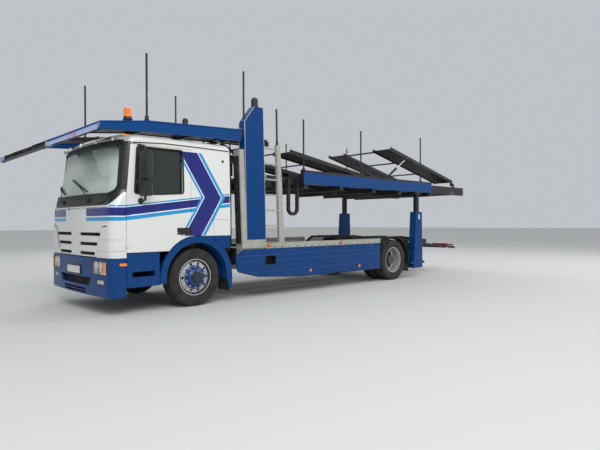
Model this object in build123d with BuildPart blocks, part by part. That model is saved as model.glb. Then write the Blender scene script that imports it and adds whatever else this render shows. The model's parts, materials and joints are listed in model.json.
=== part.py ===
from build123d import *
from math import cos, pi, radians, sin, sqrt
import os

os.makedirs("parts", exist_ok=True)

# Car transporter truck with two axles, a sleeper cab and two levels of car deck.
# Millimetres. X points forward, Y to the vehicle's left, Z up. Every "x" below is a
# distance forward of the front axle, so places behind that axle are negative.

# Overall sizes
wheelbase = 5400
rear_axle_x = -wheelbase
nose_reach = 2285
tail_reach = wheelbase + 3450
front_axle_x = (tail_reach - nose_reach) / 2
body_half = 1275
gap = 6
seat_gap = 0.3
pin_gap = 0.05

# Wheels and axles
tyre_radius = 475
rim_seat_radius = 285.7
rim_flange_radius = 298.5
rim_half = 125
front_wheel_y = 1030
rear_outer_y = 1065
twin_spacing = 350
rear_inner_y = rear_outer_y - twin_spacing
rear_flange_y = (rear_outer_y + rear_inner_y) / 2
axle_z = tyre_radius
kingpin_y = 930
kingpin_radius = 25
front_spindle_radius = 45
rear_spindle_radius = 50
arm_reach = 170
steer_pin_radius = 12

# Chassis frame
rail_y = 430
rail_flange = 75
rail_low = 580
rail_high = 800
rail_front = 1230
rail_rear = rear_axle_x - 1100
steel = 10

# Cab
cab_front = 1490
cab_rear = -640
cab_half = 1245
cab_top_half = cab_half - 30
cab_low = 850
cab_sill = 1150
belt_z = 1600
cab_top = 2690
screen_low = 1805
screen_high = 2535
screen_lean = 150
cab_wall = 60
floor_top = 1360
floor_low = 1300
low_corner = 130
low_bow = 50
glass_z = 1850
glass_set = 14
glass_corner = 300
glass_bow = 80
roof_radius = 110
arch_inner = tyre_radius + 90
arch_outer = arch_inner + 110
arch_gap = 8

# Door
door_front = 1210
door_rear = 120
door_low = 920
door_top = 2540
door_lean = 90
window_low = 1800
window_high = 2505

# Superstructure
tower_front = -873
tower_rear = -1404
tower_inner = 1100
tower_low = 914
tower_panel_low = 1060
tower_top = 3430
shelf_low = 897
shelf_high = 995
shelf_rear = rear_axle_x + 604
guard_radius = 16

# Decks
track_inner = 480
track_outer = 1020
track_lip = 45
plate = 8
lower_z = 840
hump_z = 2 * tyre_radius + 35
main_z = 2270
beam_low = 2120
beam_high = 2350
beam_front = -2385
beam_rear = rear_axle_x - 1575
beam_inner = 1160
beam_outer = 1260
deck_pivot = (-1500, 2200)
nose_pivot = (-1250, 2830)
post_x = rear_axle_x - 970
post_inner_y = 1190
post_half = 50
post_gap = 5


def side_plane(y):
    """Plane seen from the left: x and z, with its origin under the front axle."""
    return Plane(origin=(front_axle_x, y, 0), x_dir=(1, 0, 0), z_dir=(0, -1, 0))


def cross_plane(x):
    """Plane square to the vehicle: y and z."""
    return Plane(origin=(front_axle_x + x, 0, 0), x_dir=(0, 1, 0), z_dir=(1, 0, 0))


def level_plane(z):
    """Level plane: x and y."""
    return Plane(origin=(front_axle_x, 0, z))


def outline(plane, points):
    with BuildSketch(plane) as face:
        with BuildLine():
            Polyline(*points, close=True)
        make_face()
    return face.sketch


def across(points, y_in, y_out, mode=Mode.ADD):
    """Side view outline (x, z) carried from y_in out to y_out."""
    extrude(outline(side_plane(y_out), points), amount=y_out - y_in, mode=mode)


def along(points, x_rear, x_front, mode=Mode.ADD):
    """Cross section (y, z) carried from x_rear to x_front."""
    extrude(outline(cross_plane(x_rear), points), amount=x_front - x_rear, mode=mode)


def upward(points, z_low, z_high, mode=Mode.ADD):
    """Plan outline (x, y) carried from z_low to z_high."""
    extrude(outline(level_plane(z_low), points), amount=z_high - z_low, mode=mode)


def block(x, y, z, mode=Mode.ADD):
    """Straight sided block between pairs of x, y and z."""
    corners = [(x[0], z[0]), (x[1], z[0]), (x[1], z[1]), (x[0], z[1])]
    across(corners, y[0], y[1], mode)


def rod(start, end, radius, mode=Mode.ADD):
    """Round bar between two points (x, y, z)."""
    way = Vector(*end) - Vector(*start)
    place = Plane(origin=(front_axle_x + start[0], start[1], start[2]), z_dir=way)
    with BuildSketch(place) as disc:
        Circle(radius)
    extrude(disc.sketch, amount=way.length, mode=mode)


def ring_profile(points, x, z, mode=Mode.ADD):
    """Revolve (y, radius) points about the wheel axis at x, z."""
    with BuildSketch(cross_plane(x)) as half:
        with BuildLine():
            Polyline(*[(y, z + radius) for y, radius in points], close=True)
        make_face()
    axis = Axis((front_axle_x + x, 0, z), (0, 1, 0))
    revolve(half.sketch, axis=axis, mode=mode)


def both_sides():
    """Repeat what is built so far on the right."""
    mirror(about=Plane.XZ)


def save(builder, name):
    builder.part.label = name
    export_step(builder.part, f"parts/{name}.step")


# Chassis frame: two channel rails, with the cross members, outriggers, tower and post arms and
# cab brackets that are bolted to them
outrigger_x = (-1950, -2900, -3850, rear_axle_x + 700)
outrigger_half = 40
outrigger_low = 700
skirt_inner = 1240
with BuildPart() as frame:
    channel = [
        (rail_y, rail_low), (rail_y, rail_high), (rail_y - rail_flange, rail_high),
        (rail_y - rail_flange, rail_high - steel), (rail_y - steel, rail_high - steel),
        (rail_y - steel, rail_low + steel), (rail_y - rail_flange, rail_low + steel),
        (rail_y - rail_flange, rail_low),
    ]
    along(channel, rail_rear, rail_front)
    web_outside = rail_y + seat_gap
    for x in outrigger_x:
        block((x - outrigger_half, x + outrigger_half), (web_outside, skirt_inner),
              (outrigger_low, rail_high))
    # Tower outrigger and the arm that carries the rear post
    block((tower_rear, tower_front), (web_outside, 1230), (620, rail_high))
    block((post_x - 80, post_x + 80), (web_outside, tower_inner), (rail_low, rail_high))
    # Cab brackets, front and rear
    for x_rear, x_front in ((1120, 1200), (-560, -500)):
        block((x_rear, x_front), (rail_y - rail_flange, rail_y), (rail_high + seat_gap, floor_low))
    both_sides()
    web_inside = rail_y - steel - seat_gap
    for x in (1150, -1150, *outrigger_x, rear_axle_x - 600, post_x):
        block((x - outrigger_half, x + outrigger_half), (-web_inside, web_inside),
              (outrigger_low, rail_high - steel - seat_gap))
save(frame, "frame")

# Tow coupling under the frame tail: hanger, two jaw plates and the open pin bore
hanger_x = (rail_rear, rail_rear + 40)
jaw_x = rail_rear - 140
jaw_z = 420
jaw_gap = 90
jaw_plate = 35
jaw_bore = 25
jaw_half = 70
with BuildPart() as tow_coupling:
    block(hanger_x, (-220, 220), (jaw_z - 100, rail_low))
    for z in (jaw_z - jaw_gap / 2 - jaw_plate, jaw_z + jaw_gap / 2):
        upward([(rail_rear, -150), (jaw_x, -jaw_half), (jaw_x, jaw_half), (rail_rear, 150)],
               z, z + jaw_plate)
        rod((jaw_x, 0, z), (jaw_x, 0, z + jaw_plate), jaw_half)
    rod((jaw_x, 0, jaw_z - 120), (jaw_x, 0, jaw_z + 120), jaw_bore, Mode.SUBTRACT)
    for y in (-400, 320):
        block(hanger_x, (y, y + 80), (jaw_z - 60, rail_low))
    block(hanger_x, (-400, 400), (jaw_z - 60, jaw_z + 60))
save(tow_coupling, "tow_coupling")

# Engine as one plain block, gearbox and propeller shaft
engine_half = 340
engine_rear = -350
gearbox_rear = -1150
shaft_radius = 55
diff_front = rear_axle_x + 420
pinion_z = axle_z + 25
with BuildPart() as drivetrain:
    rod((gearbox_rear + 10, 0, 615), (diff_front - 10, 0, pinion_z), shaft_radius)
    for x_rear, x_front in ((diff_front - 40, diff_front), (gearbox_rear - seat_gap, engine_rear)):
        block((x_rear, x_front), (-200, 200), (400, 700), Mode.SUBTRACT)
    along([(-220, 540), (220, 540), (180, 690), (-180, 690)], gearbox_rear, engine_rear - seat_gap)
    block((engine_rear, 850), (-engine_half, engine_half), (rail_low, 1250))
    for x in (-250, 700):
        block((x - 40, x + 40), (steel - rail_y, rail_y - steel), (600, 680))
save(drivetrain, "drivetrain")

# Air intake behind the cab: filter drum on the rail, riser and hood
intake_x = -755
intake_y = 900
drum_inner = rail_y - rail_flange + 5
with BuildPart() as air_intake:
    rod((intake_x, drum_inner, 930), (intake_x, 960, 930), 95)
    block((intake_x - 60, intake_x + 60), (drum_inner, rail_y), (rail_high + seat_gap, 860))
    rod((intake_x, intake_y, 930), (intake_x, intake_y, 2250), 62)
    for z in (1200, 1600, 2000):
        rod((intake_x, intake_y, z), (intake_x, intake_y, z + 30), 68)
    along([(760, 2180), (1080, 2180), (1080, 2400), (1000, 2440), (760, 2440)],
          intake_x - 55, intake_x + 75)
save(air_intake, "air_intake")

# Front axle: drop beam with king pins, on leaf springs
spring_y = 400
spring_half = 38
spring_leaf = 36
beam_top = axle_z - 45
spring_end = axle_z + 25
spring_seat = beam_top + seat_gap
with BuildPart() as front_axle:
    beam = [
        (-870, axle_z - 65), (-700, axle_z - 55), (-560, axle_z - 145), (560, axle_z - 145),
        (700, axle_z - 55), (870, axle_z - 65), (870, axle_z + 65), (680, axle_z + 65),
        (520, beam_top), (-520, beam_top), (-680, axle_z + 65), (-870, axle_z + 65),
    ]
    along(beam, -45, 45)
    for side in (-1, 1):
        y = side * kingpin_y
        block((-45, 45), (min(side * 860, y), max(side * 860, y)), (axle_z - 65, axle_z + 65))
        rod((0, y, axle_z - 73), (0, y, axle_z + 73), 55)
        rod((0, y, axle_z - 135), (0, y, axle_z + 140), kingpin_radius)
    for y in (-spring_y, spring_y):
        with BuildSketch(side_plane(y + spring_half)) as leaf:
            with BuildLine():
                low = ThreePointArc((-720, spring_end), (0, spring_seat), (820, spring_end))
                high = ThreePointArc((-720, spring_end + spring_leaf),
                                     (0, spring_seat + spring_leaf),
                                     (820, spring_end + spring_leaf))
                Line(low @ 0, high @ 0)
                Line(low @ 1, high @ 1)
            make_face()
        extrude(leaf.sketch, amount=2 * spring_half)
        for x in (-690, 790):
            block((x - 30, x + 30), (y - spring_half, y + spring_half), (spring_end + 10, rail_low))
save(front_axle, "front_axle")

# Rear axle: banjo casing, spindles, carrier beams and air springs
with BuildPart() as rear_axle:
    casing = [
        (-620, 0), (-620, 78), (-300, 78), (-170, 215), (170, 215), (300, 78),
        (620, 78), (620, 0),
    ]
    ring_profile(casing, rear_axle_x, axle_z)
    rod((rear_axle_x, -1050, axle_z), (rear_axle_x, 1050, axle_z), rear_spindle_radius)
    rod((diff_front + 10, 0, pinion_z), (rear_axle_x, 0, axle_z + 15), 110)
    block((diff_front - seat_gap, diff_front + 40), (-200, 200), (pinion_z - 150, pinion_z + 150),
          Mode.SUBTRACT)
    for y in (-spring_y, spring_y):
        block((rear_axle_x - 550, rear_axle_x + 550), (y - spring_half, y + spring_half),
              (axle_z - 135, axle_z - 80))
        for x in (rear_axle_x - 460, rear_axle_x + 460):
            rod((x, y, axle_z - 80), (x, y, rail_low), 115)
save(rear_axle, "rear_axle")

# Tanks behind the skirts
with BuildPart() as tanks:
    for y_in, y_out, x_rear, x_front in ((460, 1150, -3700, -2100), (-1150, -460, -3300, -2100)):
        block((x_rear, x_front), (y_in, y_out), (350, outrigger_low - seat_gap))
    fillet(tanks.edges().filter_by(Axis.X), 70)
    for y in (-1000, -700):
        rod((-4500, y, 560), (-3500, y, 560), 138)
        for x in (-4300, -3850):
            block((x - 20, x + 20), (y - 20, y + 20), (600, outrigger_low - seat_gap))
save(tanks, "tanks")


def wheel_station(y_centre, side, points):
    """Points given as (outward offset, radius), turned to y for one side."""
    return [(side * (y_centre + out), radius) for out, radius in points]


# Tyres and rims: columns are outward offset from the tyre's middle, and radius
tyre_bead = 108
tyre_half = [
    (60, tyre_radius), (112, 470), (140, 440), (150, 385), (146, 330),
    (128, rim_flange_radius + 4), (tyre_bead, rim_flange_radius + 2),
    (tyre_bead, rim_seat_radius + seat_gap),
]
tyre_points = tyre_half + [(-out, radius) for out, radius in reversed(tyre_half)]
front_rim_points = [
    (-rim_half, rim_flange_radius), (-115, rim_flange_radius), (-112, rim_seat_radius),
    (112, rim_seat_radius), (115, rim_flange_radius), (rim_half, rim_flange_radius),
    (rim_half, 284), (88, 274), (100, 225), (112, 176), (112, 150), (140, 140),
    (165, 100), (165, 0), (146, 0), (146, front_spindle_radius + pin_gap),
    (0, front_spindle_radius + pin_gap), (0, 105), (70, 105), (96, 150), (96, 178),
    (84, 225), (70, 272), (-rim_half, 274),
]
flange_out = rear_flange_y - rear_outer_y
rear_rim_points = [
    (-rim_half, rim_flange_radius), (-115, rim_flange_radius), (-112, rim_seat_radius),
    (112, rim_seat_radius), (115, rim_flange_radius), (rim_half, rim_flange_radius),
    (rim_half, 284), (60, 274), (-70, 270), (-105, 230), (-150, 180), (flange_out + 14, 170),
    (flange_out + 14, 100), (flange_out, 100), (flange_out, 172), (-162, 190),
    (-118, 240), (-rim_half, 274),
]
inner_rim_points = [(-2 * (rear_outer_y - rear_flange_y) - out, radius)
                    for out, radius in rear_rim_points]
rear_hub_points = [
    (-420, rear_spindle_radius + pin_gap), (-420, 110), (60, 110), (60, 0), (0, 0),
    (0, rear_spindle_radius + pin_gap),
]
hand_holes = 10
for side_name, side in (("left", 1), ("right", -1)):
    with BuildPart() as front_tyre:
        ring_profile(wheel_station(front_wheel_y, side, tyre_points), 0, axle_z)
    save(front_tyre, f"front_{side_name}_tyre")
    with BuildPart() as front_rim:
        ring_profile(wheel_station(front_wheel_y, side, front_rim_points), 0, axle_z)
        hole_plane = Plane(origin=(front_axle_x, side * front_wheel_y, axle_z),
                           x_dir=(1, 0, 0), z_dir=(0, side, 0))
        with BuildSketch(hole_plane) as holes:
            with PolarLocations(222, hand_holes):
                Circle(24)
        extrude(holes.sketch, amount=rim_half, mode=Mode.SUBTRACT)
    save(front_rim, f"front_{side_name}_rim")
    with BuildPart() as rear_tyres:
        for y in (rear_outer_y, rear_inner_y):
            ring_profile(wheel_station(y, side, tyre_points), rear_axle_x, axle_z)
    save(rear_tyres, f"rear_{side_name}_tyres")
    with BuildPart() as rear_rims:
        for points in (rear_rim_points, inner_rim_points, rear_hub_points):
            ring_profile(wheel_station(rear_outer_y, side, points), rear_axle_x, axle_z)
        hole_plane = Plane(origin=(front_axle_x + rear_axle_x, side * rear_inner_y, axle_z),
                           x_dir=(1, 0, 0), z_dir=(0, side, 0))
        with BuildSketch(hole_plane) as holes:
            with PolarLocations(222, hand_holes):
                Circle(24)
        extrude(holes.sketch, amount=twin_spacing, mode=Mode.SUBTRACT)
    save(rear_rims, f"rear_{side_name}_rims")

# Steering knuckles: fork round the axle end, spindle, arm and track rod pin
fork_half = 50
ear = 40
ear_low = axle_z - 117
ear_high = axle_z + 77
arm_half = 25
with BuildPart() as left_knuckle:
    for z in (ear_low, ear_high):
        block((-fork_half, fork_half), (kingpin_y, 1020), (z, z + ear))
        rod((0, kingpin_y, z), (0, kingpin_y, z + ear), fork_half)
    block((-60, 60), (992, 1020), (ear_low, ear_high + ear))
    rod((0, 1020, axle_z), (0, front_wheel_y + 140, axle_z), front_spindle_radius)
    upward([(40, kingpin_y - arm_half), (40, 1000), (-60, 1000), (-90, kingpin_y + arm_half),
            (-arm_reach, kingpin_y + arm_half), (-arm_reach, kingpin_y - arm_half)],
           ear_low, ear_low + 36)
    rod((-arm_reach, kingpin_y, ear_low), (-arm_reach, kingpin_y, ear_low + 36), arm_half)
    rod((0, kingpin_y, ear_low - 20), (0, kingpin_y, ear_high + 80),
        kingpin_radius + pin_gap, Mode.SUBTRACT)
    rod((-arm_reach, kingpin_y, ear_low - 53), (-arm_reach, kingpin_y, ear_low + 1),
        steer_pin_radius)
save(left_knuckle, "left_knuckle")
with BuildPart() as right_knuckle:
    mirror(left_knuckle.part, about=Plane.XZ)
save(right_knuckle, "right_knuckle")

rod_z = ear_low - 26
with BuildPart() as track_rod:
    rod((-arm_reach, -kingpin_y, rod_z), (-arm_reach, kingpin_y, rod_z), 18)
    for y in (-kingpin_y, kingpin_y):
        rod((-arm_reach, y, rod_z - 20), (-arm_reach, y, rod_z + 20), 28)
        rod((-arm_reach, y, rod_z - 30), (-arm_reach, y, rod_z + 30),
            steer_pin_radius + pin_gap, Mode.SUBTRACT)
save(track_rod, "track_rod")


def cab_ring(z, front, half, rear, corner, bow):
    """Plan of the cab at one height: flat sides, round corners and a bowed front."""
    side_end = front - bow - corner
    diagonal = corner * (1 - sqrt(0.5))
    with BuildSketch(level_plane(z)) as ring:
        with BuildLine():
            for side in (-1, 1):
                Line((rear, side * half), (side_end, side * half))
                ThreePointArc((side_end, side * half),
                              (side_end + corner - diagonal, side * (half - diagonal)),
                              (front - bow, side * (half - corner)))
            ThreePointArc((front - bow, corner - half), (front, 0), (front - bow, half - corner))
            Line((rear, -half), (rear, half))
        make_face()
    return ring.sketch


def cab_volume(inset, z_low, z_high, front_set=0):
    """The cab's form, drawn in by a wall; front_set moves its front back below the belt."""
    corner, round_corner = low_corner - inset, glass_corner - inset
    front = cab_front - inset
    half = cab_half - inset
    top_half = cab_top_half - inset
    rear = cab_rear + inset
    glass_half = half - (cab_half - cab_top_half) * (glass_z - belt_z) / (cab_top - belt_z)
    with BuildPart() as volume:
        low_ring = cab_ring(z_low, front - front_set, half, rear, corner, low_bow)
        extrude(low_ring, amount=belt_z - z_low)
        loft([cab_ring(belt_z, front, half, rear, corner, low_bow),
              cab_ring(glass_z, front - glass_set, glass_half, rear, round_corner, glass_bow),
              cab_ring(z_high, front - screen_lean, top_half, rear, round_corner, glass_bow)],
             ruled=True)
        fillet(volume.edges().group_by(Axis.Z)[-1], roof_radius - inset)
    return volume.part


def door_slab(inset, y_in, y_out, mode):
    """Door's side view drawn in by a gap; its lower rear edge follows the wheel arch."""
    low, top = door_low + inset, door_top - inset
    rear, front = door_rear + inset, door_front - inset
    clear = arch_outer + arch_gap + inset
    lean_z = 1700
    with BuildSketch(side_plane(y_out)) as face:
        with BuildLine():
            arch_end = (rear, axle_z + sqrt(clear ** 2 - rear ** 2))
            arch_start = (sqrt(clear ** 2 - (low - axle_z) ** 2), low)
            Polyline(arch_start, (front, low), (front, lean_z), (front - door_lean, top),
                     (rear, top), arch_end)
            RadiusArc(arch_end, arch_start, clear)
        make_face()
    extrude(face.sketch, amount=y_out - y_in, mode=mode)


window_outline = [
    (1080, window_low), (1030, window_high), (260, window_high), (260, window_low + 30),
    (700, window_low),
]


def window_prism(margin, y_in, y_out, mode=Mode.ADD):
    """Door window with round corners, drawn in by a margin, carried from y_in to y_out."""
    with BuildSketch(side_plane(y_out)) as face:
        with BuildLine():
            Polyline(*window_outline, close=True)
        make_face()
        fillet(face.vertices(), 45)
        if margin:
            offset(amount=-margin)
    extrude(face.sketch, amount=y_out - y_in, mode=mode)


# Cab shell: outer form less the cabin, the wheel and engine space below, and openings
flap_half = cab_half - 135
flap_side = [(flap_half, belt_z), (flap_half, 1310), (flap_half - 150, 1300),
             (flap_half - 340, cab_low)]
flap_depth = 35
flap_gap = 8
shoulder_gap = 8
flap_room = 130
screen_low_half = cab_half - 95
screen_top_half = cab_half - 155
screen_outline = [
    (screen_low_half, screen_low), (screen_top_half, screen_high),
    (-screen_top_half, screen_high), (-screen_low_half, screen_low),
]
cab_outer = cab_volume(0, cab_low, cab_top)


# Door hinges just outside the skin: lower bracket and pin on the shell, eye on the door
hinge_z = (1010, 1480)
hinge_x = door_front + 3
hinge_y = cab_half + 14
hinge_pin = 6
hinge_eye = 12
hinge_tall = 26

# Front flap hinges along the belt, ahead of the skin
flap_axis = (cab_front + 12, belt_z - 5)
flap_hinge_y = (-300, 262)
flap_pin = 5
flap_eye = 10
cabin = cab_volume(cab_wall, floor_top, cab_top - cab_wall, flap_room)


def screen_prism(margin):
    """The windscreen's outline drawn in by a margin, carried through the cab's front."""
    with BuildSketch(cross_plane(1080)) as pane:
        with BuildLine():
            Polyline(*screen_outline, close=True)
        make_face()
        fillet(pane.vertices().group_by(Axis.Z)[0], 120)
        fillet(pane.vertices().group_by(Axis.Z)[-1], 70)
        if margin:
            offset(amount=-margin)
    with BuildPart() as prism:
        extrude(pane.sketch, amount=500)
    return prism.part


def flap_slab(inset, x_rear, x_front, mode, shoulder=0):
    """Front flap seen from ahead, drawn in by a gap all round and more above its shoulders."""
    top, outer, inner, foot = flap_side
    side = [top, (outer[0], outer[1] + shoulder), (inner[0], inner[1] + shoulder), foot]
    with BuildSketch(cross_plane(x_rear)) as face:
        with BuildLine():
            Polyline(*side, *[(-y, z) for y, z in reversed(side)], close=True)
        make_face()
        if inset:
            offset(amount=-inset, kind=Kind.INTERSECTION)
    extrude(face.sketch, amount=x_front - x_rear, mode=mode)


# Corner panels beside the flap: two bands that stand proud of the skin
panel_bands = ((955, 1112), (1122, 1360))
panel_proud = 8
panel_rear = door_front + 22
panel_edge = [(flap_half + 12, 1370), (flap_half + 12, 1308), (flap_half - 132, 1298),
              (flap_half - 285, 950)]
with BuildPart() as corner_panels:
    for z_low, z_high in panel_bands:
        extrude(cab_ring(z_low, cab_front + panel_proud, cab_half + panel_proud, 600,
                         low_corner + panel_proud, low_bow), amount=z_high - z_low)
    block((0, panel_rear), (-cab_half - 55, cab_half + 55), (900, 1400), Mode.SUBTRACT)
    along(panel_edge + [(-y, z) for y, z in reversed(panel_edge)], 1000, 1600, Mode.SUBTRACT)
    add(cab_outer, mode=Mode.SUBTRACT)

with BuildPart() as cab_shell:
    add(cab_outer)
    add(corner_panels.part)
    add(cabin, mode=Mode.SUBTRACT)
    # Space below the floor, open to the ground
    low_half = cab_half - cab_wall
    block((cab_rear - 10, cab_front - flap_room - cab_wall), (-low_half, low_half),
          (cab_low - 10, floor_low),
          Mode.SUBTRACT)
    # Side walls end at the sill and at the wheel arches
    block((cab_rear - 10, 0), (-cab_half - 10, cab_half + 10), (cab_low - 10, cab_sill),
          Mode.SUBTRACT)
    rod((0, -cab_half - 10, axle_z), (0, cab_half + 10, axle_z), arch_outer + arch_gap,
        Mode.SUBTRACT)
    block((0, door_front), (-cab_half - 10, cab_half + 10), (cab_low - 10, door_low),
          Mode.SUBTRACT)
    for side in (-1, 1):
        y_pair = sorted((side * (cab_half - 250), side * (cab_half + 10)))
        door_slab(0, y_pair[0], y_pair[1], Mode.SUBTRACT)
    # Front flap recess and windscreen opening
    flap_slab(0, cab_front - low_bow - cab_wall - 20, cab_front + 10, Mode.SUBTRACT)
    add(screen_prism(0), mode=Mode.SUBTRACT)
    for z in hinge_z:
        for y in (hinge_y, -hinge_y):
            bracket_y = sorted((y, y * (1 - 30 / hinge_y)))
            block((hinge_x - hinge_pin, hinge_x + 25), bracket_y, (z - 14, z))
            rod((hinge_x, y, z - 14), (hinge_x, y, z + hinge_tall + 4), hinge_pin)
    for y in flap_hinge_y:
        across([(cab_front - 12, belt_z), (cab_front - 12, belt_z + 16), (flap_axis[0] + 8, belt_z),
                (flap_axis[0] + 8, belt_z - 12), (flap_axis[0] - 7, belt_z - 12),
                (flap_axis[0] - 9, belt_z)], y - 12, y)
        rod((flap_axis[0], y - 12, flap_axis[1]), (flap_axis[0], y + 40, flap_axis[1]), flap_pin)
save(cab_shell, "cab_shell")

with BuildPart() as windscreen:
    add(cab_volume(12, cab_low, cab_top - 12))
    add(cab_volume(22, cab_low, cab_top - 22), mode=Mode.SUBTRACT)
    add(screen_prism(seat_gap), mode=Mode.INTERSECT)
save(windscreen, "windscreen")

# Front flap with three rows of slots beside a plain centre
slot_rows = ((1197, flap_half - 210, 50), (1050, flap_half - 300, 50), (905, flap_half - 380, 50))
with BuildPart() as front_flap:
    add(cab_volume(0, cab_low, cab_top))
    add(cab_volume(flap_depth, cab_low - 5, cab_top - flap_depth), mode=Mode.SUBTRACT)
    flap_slab(flap_gap, 1000, cab_front + 20, Mode.INTERSECT, shoulder_gap)
    for z, reach, height in slot_rows:
        for y in (-reach, 170):
            block((1200, cab_front + 20), (y, y + reach - 170), (z - height / 2, z + height / 2),
                  Mode.SUBTRACT)
    for y in flap_hinge_y:
        rod((flap_axis[0], y + seat_gap, flap_axis[1]), (flap_axis[0], y + 38, flap_axis[1]), flap_eye)
        block((cab_front - 25, flap_axis[0] + 4), (y + seat_gap, y + 38), (belt_z - 25, belt_z - 10))
        rod((flap_axis[0], y, flap_axis[1]), (flap_axis[0], y + 40, flap_axis[1]),
            flap_pin + pin_gap, Mode.SUBTRACT)
save(front_flap, "front_flap")

# Doors: the cab wall inside the door outline, hollowed for the window
with BuildPart() as left_door:
    add(cab_outer)
    add(cab_volume(cab_wall, cab_low - 5, cab_top - cab_wall), mode=Mode.SUBTRACT)
    door_slab(gap, cab_half - 345, cab_half + 55, Mode.INTERSECT)
    window_prism(0, cab_half - 245, cab_half + 55, Mode.SUBTRACT)
    block((120 + 20, 375), (cab_half - 25, cab_half + 5), (1180, 1280), Mode.SUBTRACT)
    block((120 + 20.3, 374.7), (cab_half - 25, cab_half - 1), (1180.3, 1279.7))
    for z in hinge_z:
        rod((hinge_x, hinge_y, z + seat_gap), (hinge_x, hinge_y, z + hinge_tall), hinge_eye)
        block((hinge_x - 45, hinge_x), (cab_half + 1, hinge_y + 6), (z + seat_gap, z + hinge_tall))
        block((hinge_x - 45, door_front - gap), (cab_half - 2, cab_half + 1),
              (z + seat_gap, z + hinge_tall))
        rod((hinge_x, hinge_y, z), (hinge_x, hinge_y, z + hinge_tall), hinge_pin + pin_gap,
            Mode.SUBTRACT)
save(left_door, "left_door")
with BuildPart() as right_door:
    mirror(left_door.part, about=Plane.XZ)
save(right_door, "right_door")

glass_y = cab_top_half - 25
with BuildPart() as left_door_glass:
    window_prism(seat_gap, glass_y - 6, glass_y)
save(left_door_glass, "left_door_glass")
with BuildPart() as right_door_glass:
    mirror(left_door_glass.part, about=Plane.XZ)
save(right_door_glass, "right_door_glass")

# Mirrors: bent arm fixed to the door above and below, main and wide angle housings
mirror_x = 985
mirror_y = cab_half + 145
arm_low = 1690
arm_high = 2500


def cab_side(z):
    """Half width of the cab's outside at one height."""
    lean = (cab_half - cab_top_half) / (cab_top - belt_z)
    return cab_half - lean * (z - belt_z)


with BuildPart() as left_mirror:
    with BuildLine(Plane.XY) as arm_path:
        FilletPolyline(
            (front_axle_x + mirror_x, cab_side(arm_low) + 0.8, arm_low),
            (front_axle_x + mirror_x, mirror_y, arm_low),
            (front_axle_x + mirror_x, mirror_y, arm_high),
            (front_axle_x + mirror_x, cab_side(arm_high) + 0.8, arm_high),
            radius=60,
        )
    with BuildSketch(Plane(origin=arm_path.line @ 0, z_dir=arm_path.line % 0)) as arm_section:
        Circle(15)
    sweep(arm_section.sketch, path=arm_path.line)
    for z_low, z_high in ((2010, 2420), (1760, 1970)):
        block((mirror_x - 55, mirror_x + 45), (mirror_y - 100, mirror_y + 130), (z_low, z_high))
    fillet(left_mirror.edges().filter_by(Axis.Z), 25)
save(left_mirror, "left_mirror")
with BuildPart() as right_mirror:
    mirror(left_mirror.part, about=Plane.XZ)
save(right_mirror, "right_mirror")

# Seats and bunk
with BuildPart() as seats:
    seat_side = [
        (130, floor_top), (520, floor_top), (520, 1540), (600, 1600), (610, 1700), (560, 1735),
        (190, 1715), (70, 2440), (-20, 2430), (60, 1660), (130, 1580),
    ]
    across(seat_side, cab_half - 945, cab_half - 395)
    both_sides()
    fillet(seats.edges().filter_by(Axis.Y), 25)
    bunk_half = cab_half - 95
    block((-570, -100), (30 - bunk_half, bunk_half - 30), (floor_top, 1690))
    block((-575, -70), (-bunk_half, bunk_half), (1690, 1830))
save(seats, "seats")

# Dashboard with the steering column
column_foot = (1020, 1620)
column_head = (838, 1828)
wheel_hub = (800, 1871)
driver_y = cab_half - 670
with BuildPart() as dashboard:
    dash_front = cab_front - 110
    across([(dash_front, floor_top), (dash_front, 1690), (1240, 1720), (1010, 1700), (950, 1610),
            (960, 1520), (1120, floor_top)], 115 - cab_half, cab_half - 115)
    add(cab_volume(cab_wall + 3, floor_top, cab_top - 80, flap_room), mode=Mode.INTERSECT)
    rod((column_foot[0], driver_y, column_foot[1]), (column_head[0], driver_y, column_head[1]), 38)
save(dashboard, "dashboard")

column_way = Vector(wheel_hub[0] - column_foot[0], 0, wheel_hub[1] - column_foot[1]).normalized()
with BuildPart() as steering_wheel:
    hub_plane = Plane(origin=(front_axle_x + wheel_hub[0], driver_y, wheel_hub[1]),
                      x_dir=(0, 1, 0), z_dir=column_way)
    column_end = sqrt((column_head[0] - wheel_hub[0]) ** 2 + (column_head[1] - wheel_hub[1]) ** 2)
    with BuildSketch(hub_plane.offset(seat_gap - column_end)) as hub_disc:
        Circle(40)
    extrude(hub_disc.sketch, amount=column_end - 5)
    with BuildSketch(Plane(hub_plane.origin, x_dir=(0, 1, 0),
                           z_dir=hub_plane.x_dir.cross(hub_plane.z_dir))) as rim_section:
        with Locations((225, 0)):
            Circle(15)
    revolve(rim_section.sketch, axis=Axis(hub_plane.origin, column_way))
    for angle in (0, 120, 240):
        with BuildSketch(hub_plane.offset(-12)) as spoke:
            with PolarLocations(0, 1, start_angle=angle):
                with Locations((120, 0)):
                    Rectangle(200, 36)
        extrude(spoke.sketch, amount=12)
save(steering_wheel, "steering_wheel")

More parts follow.
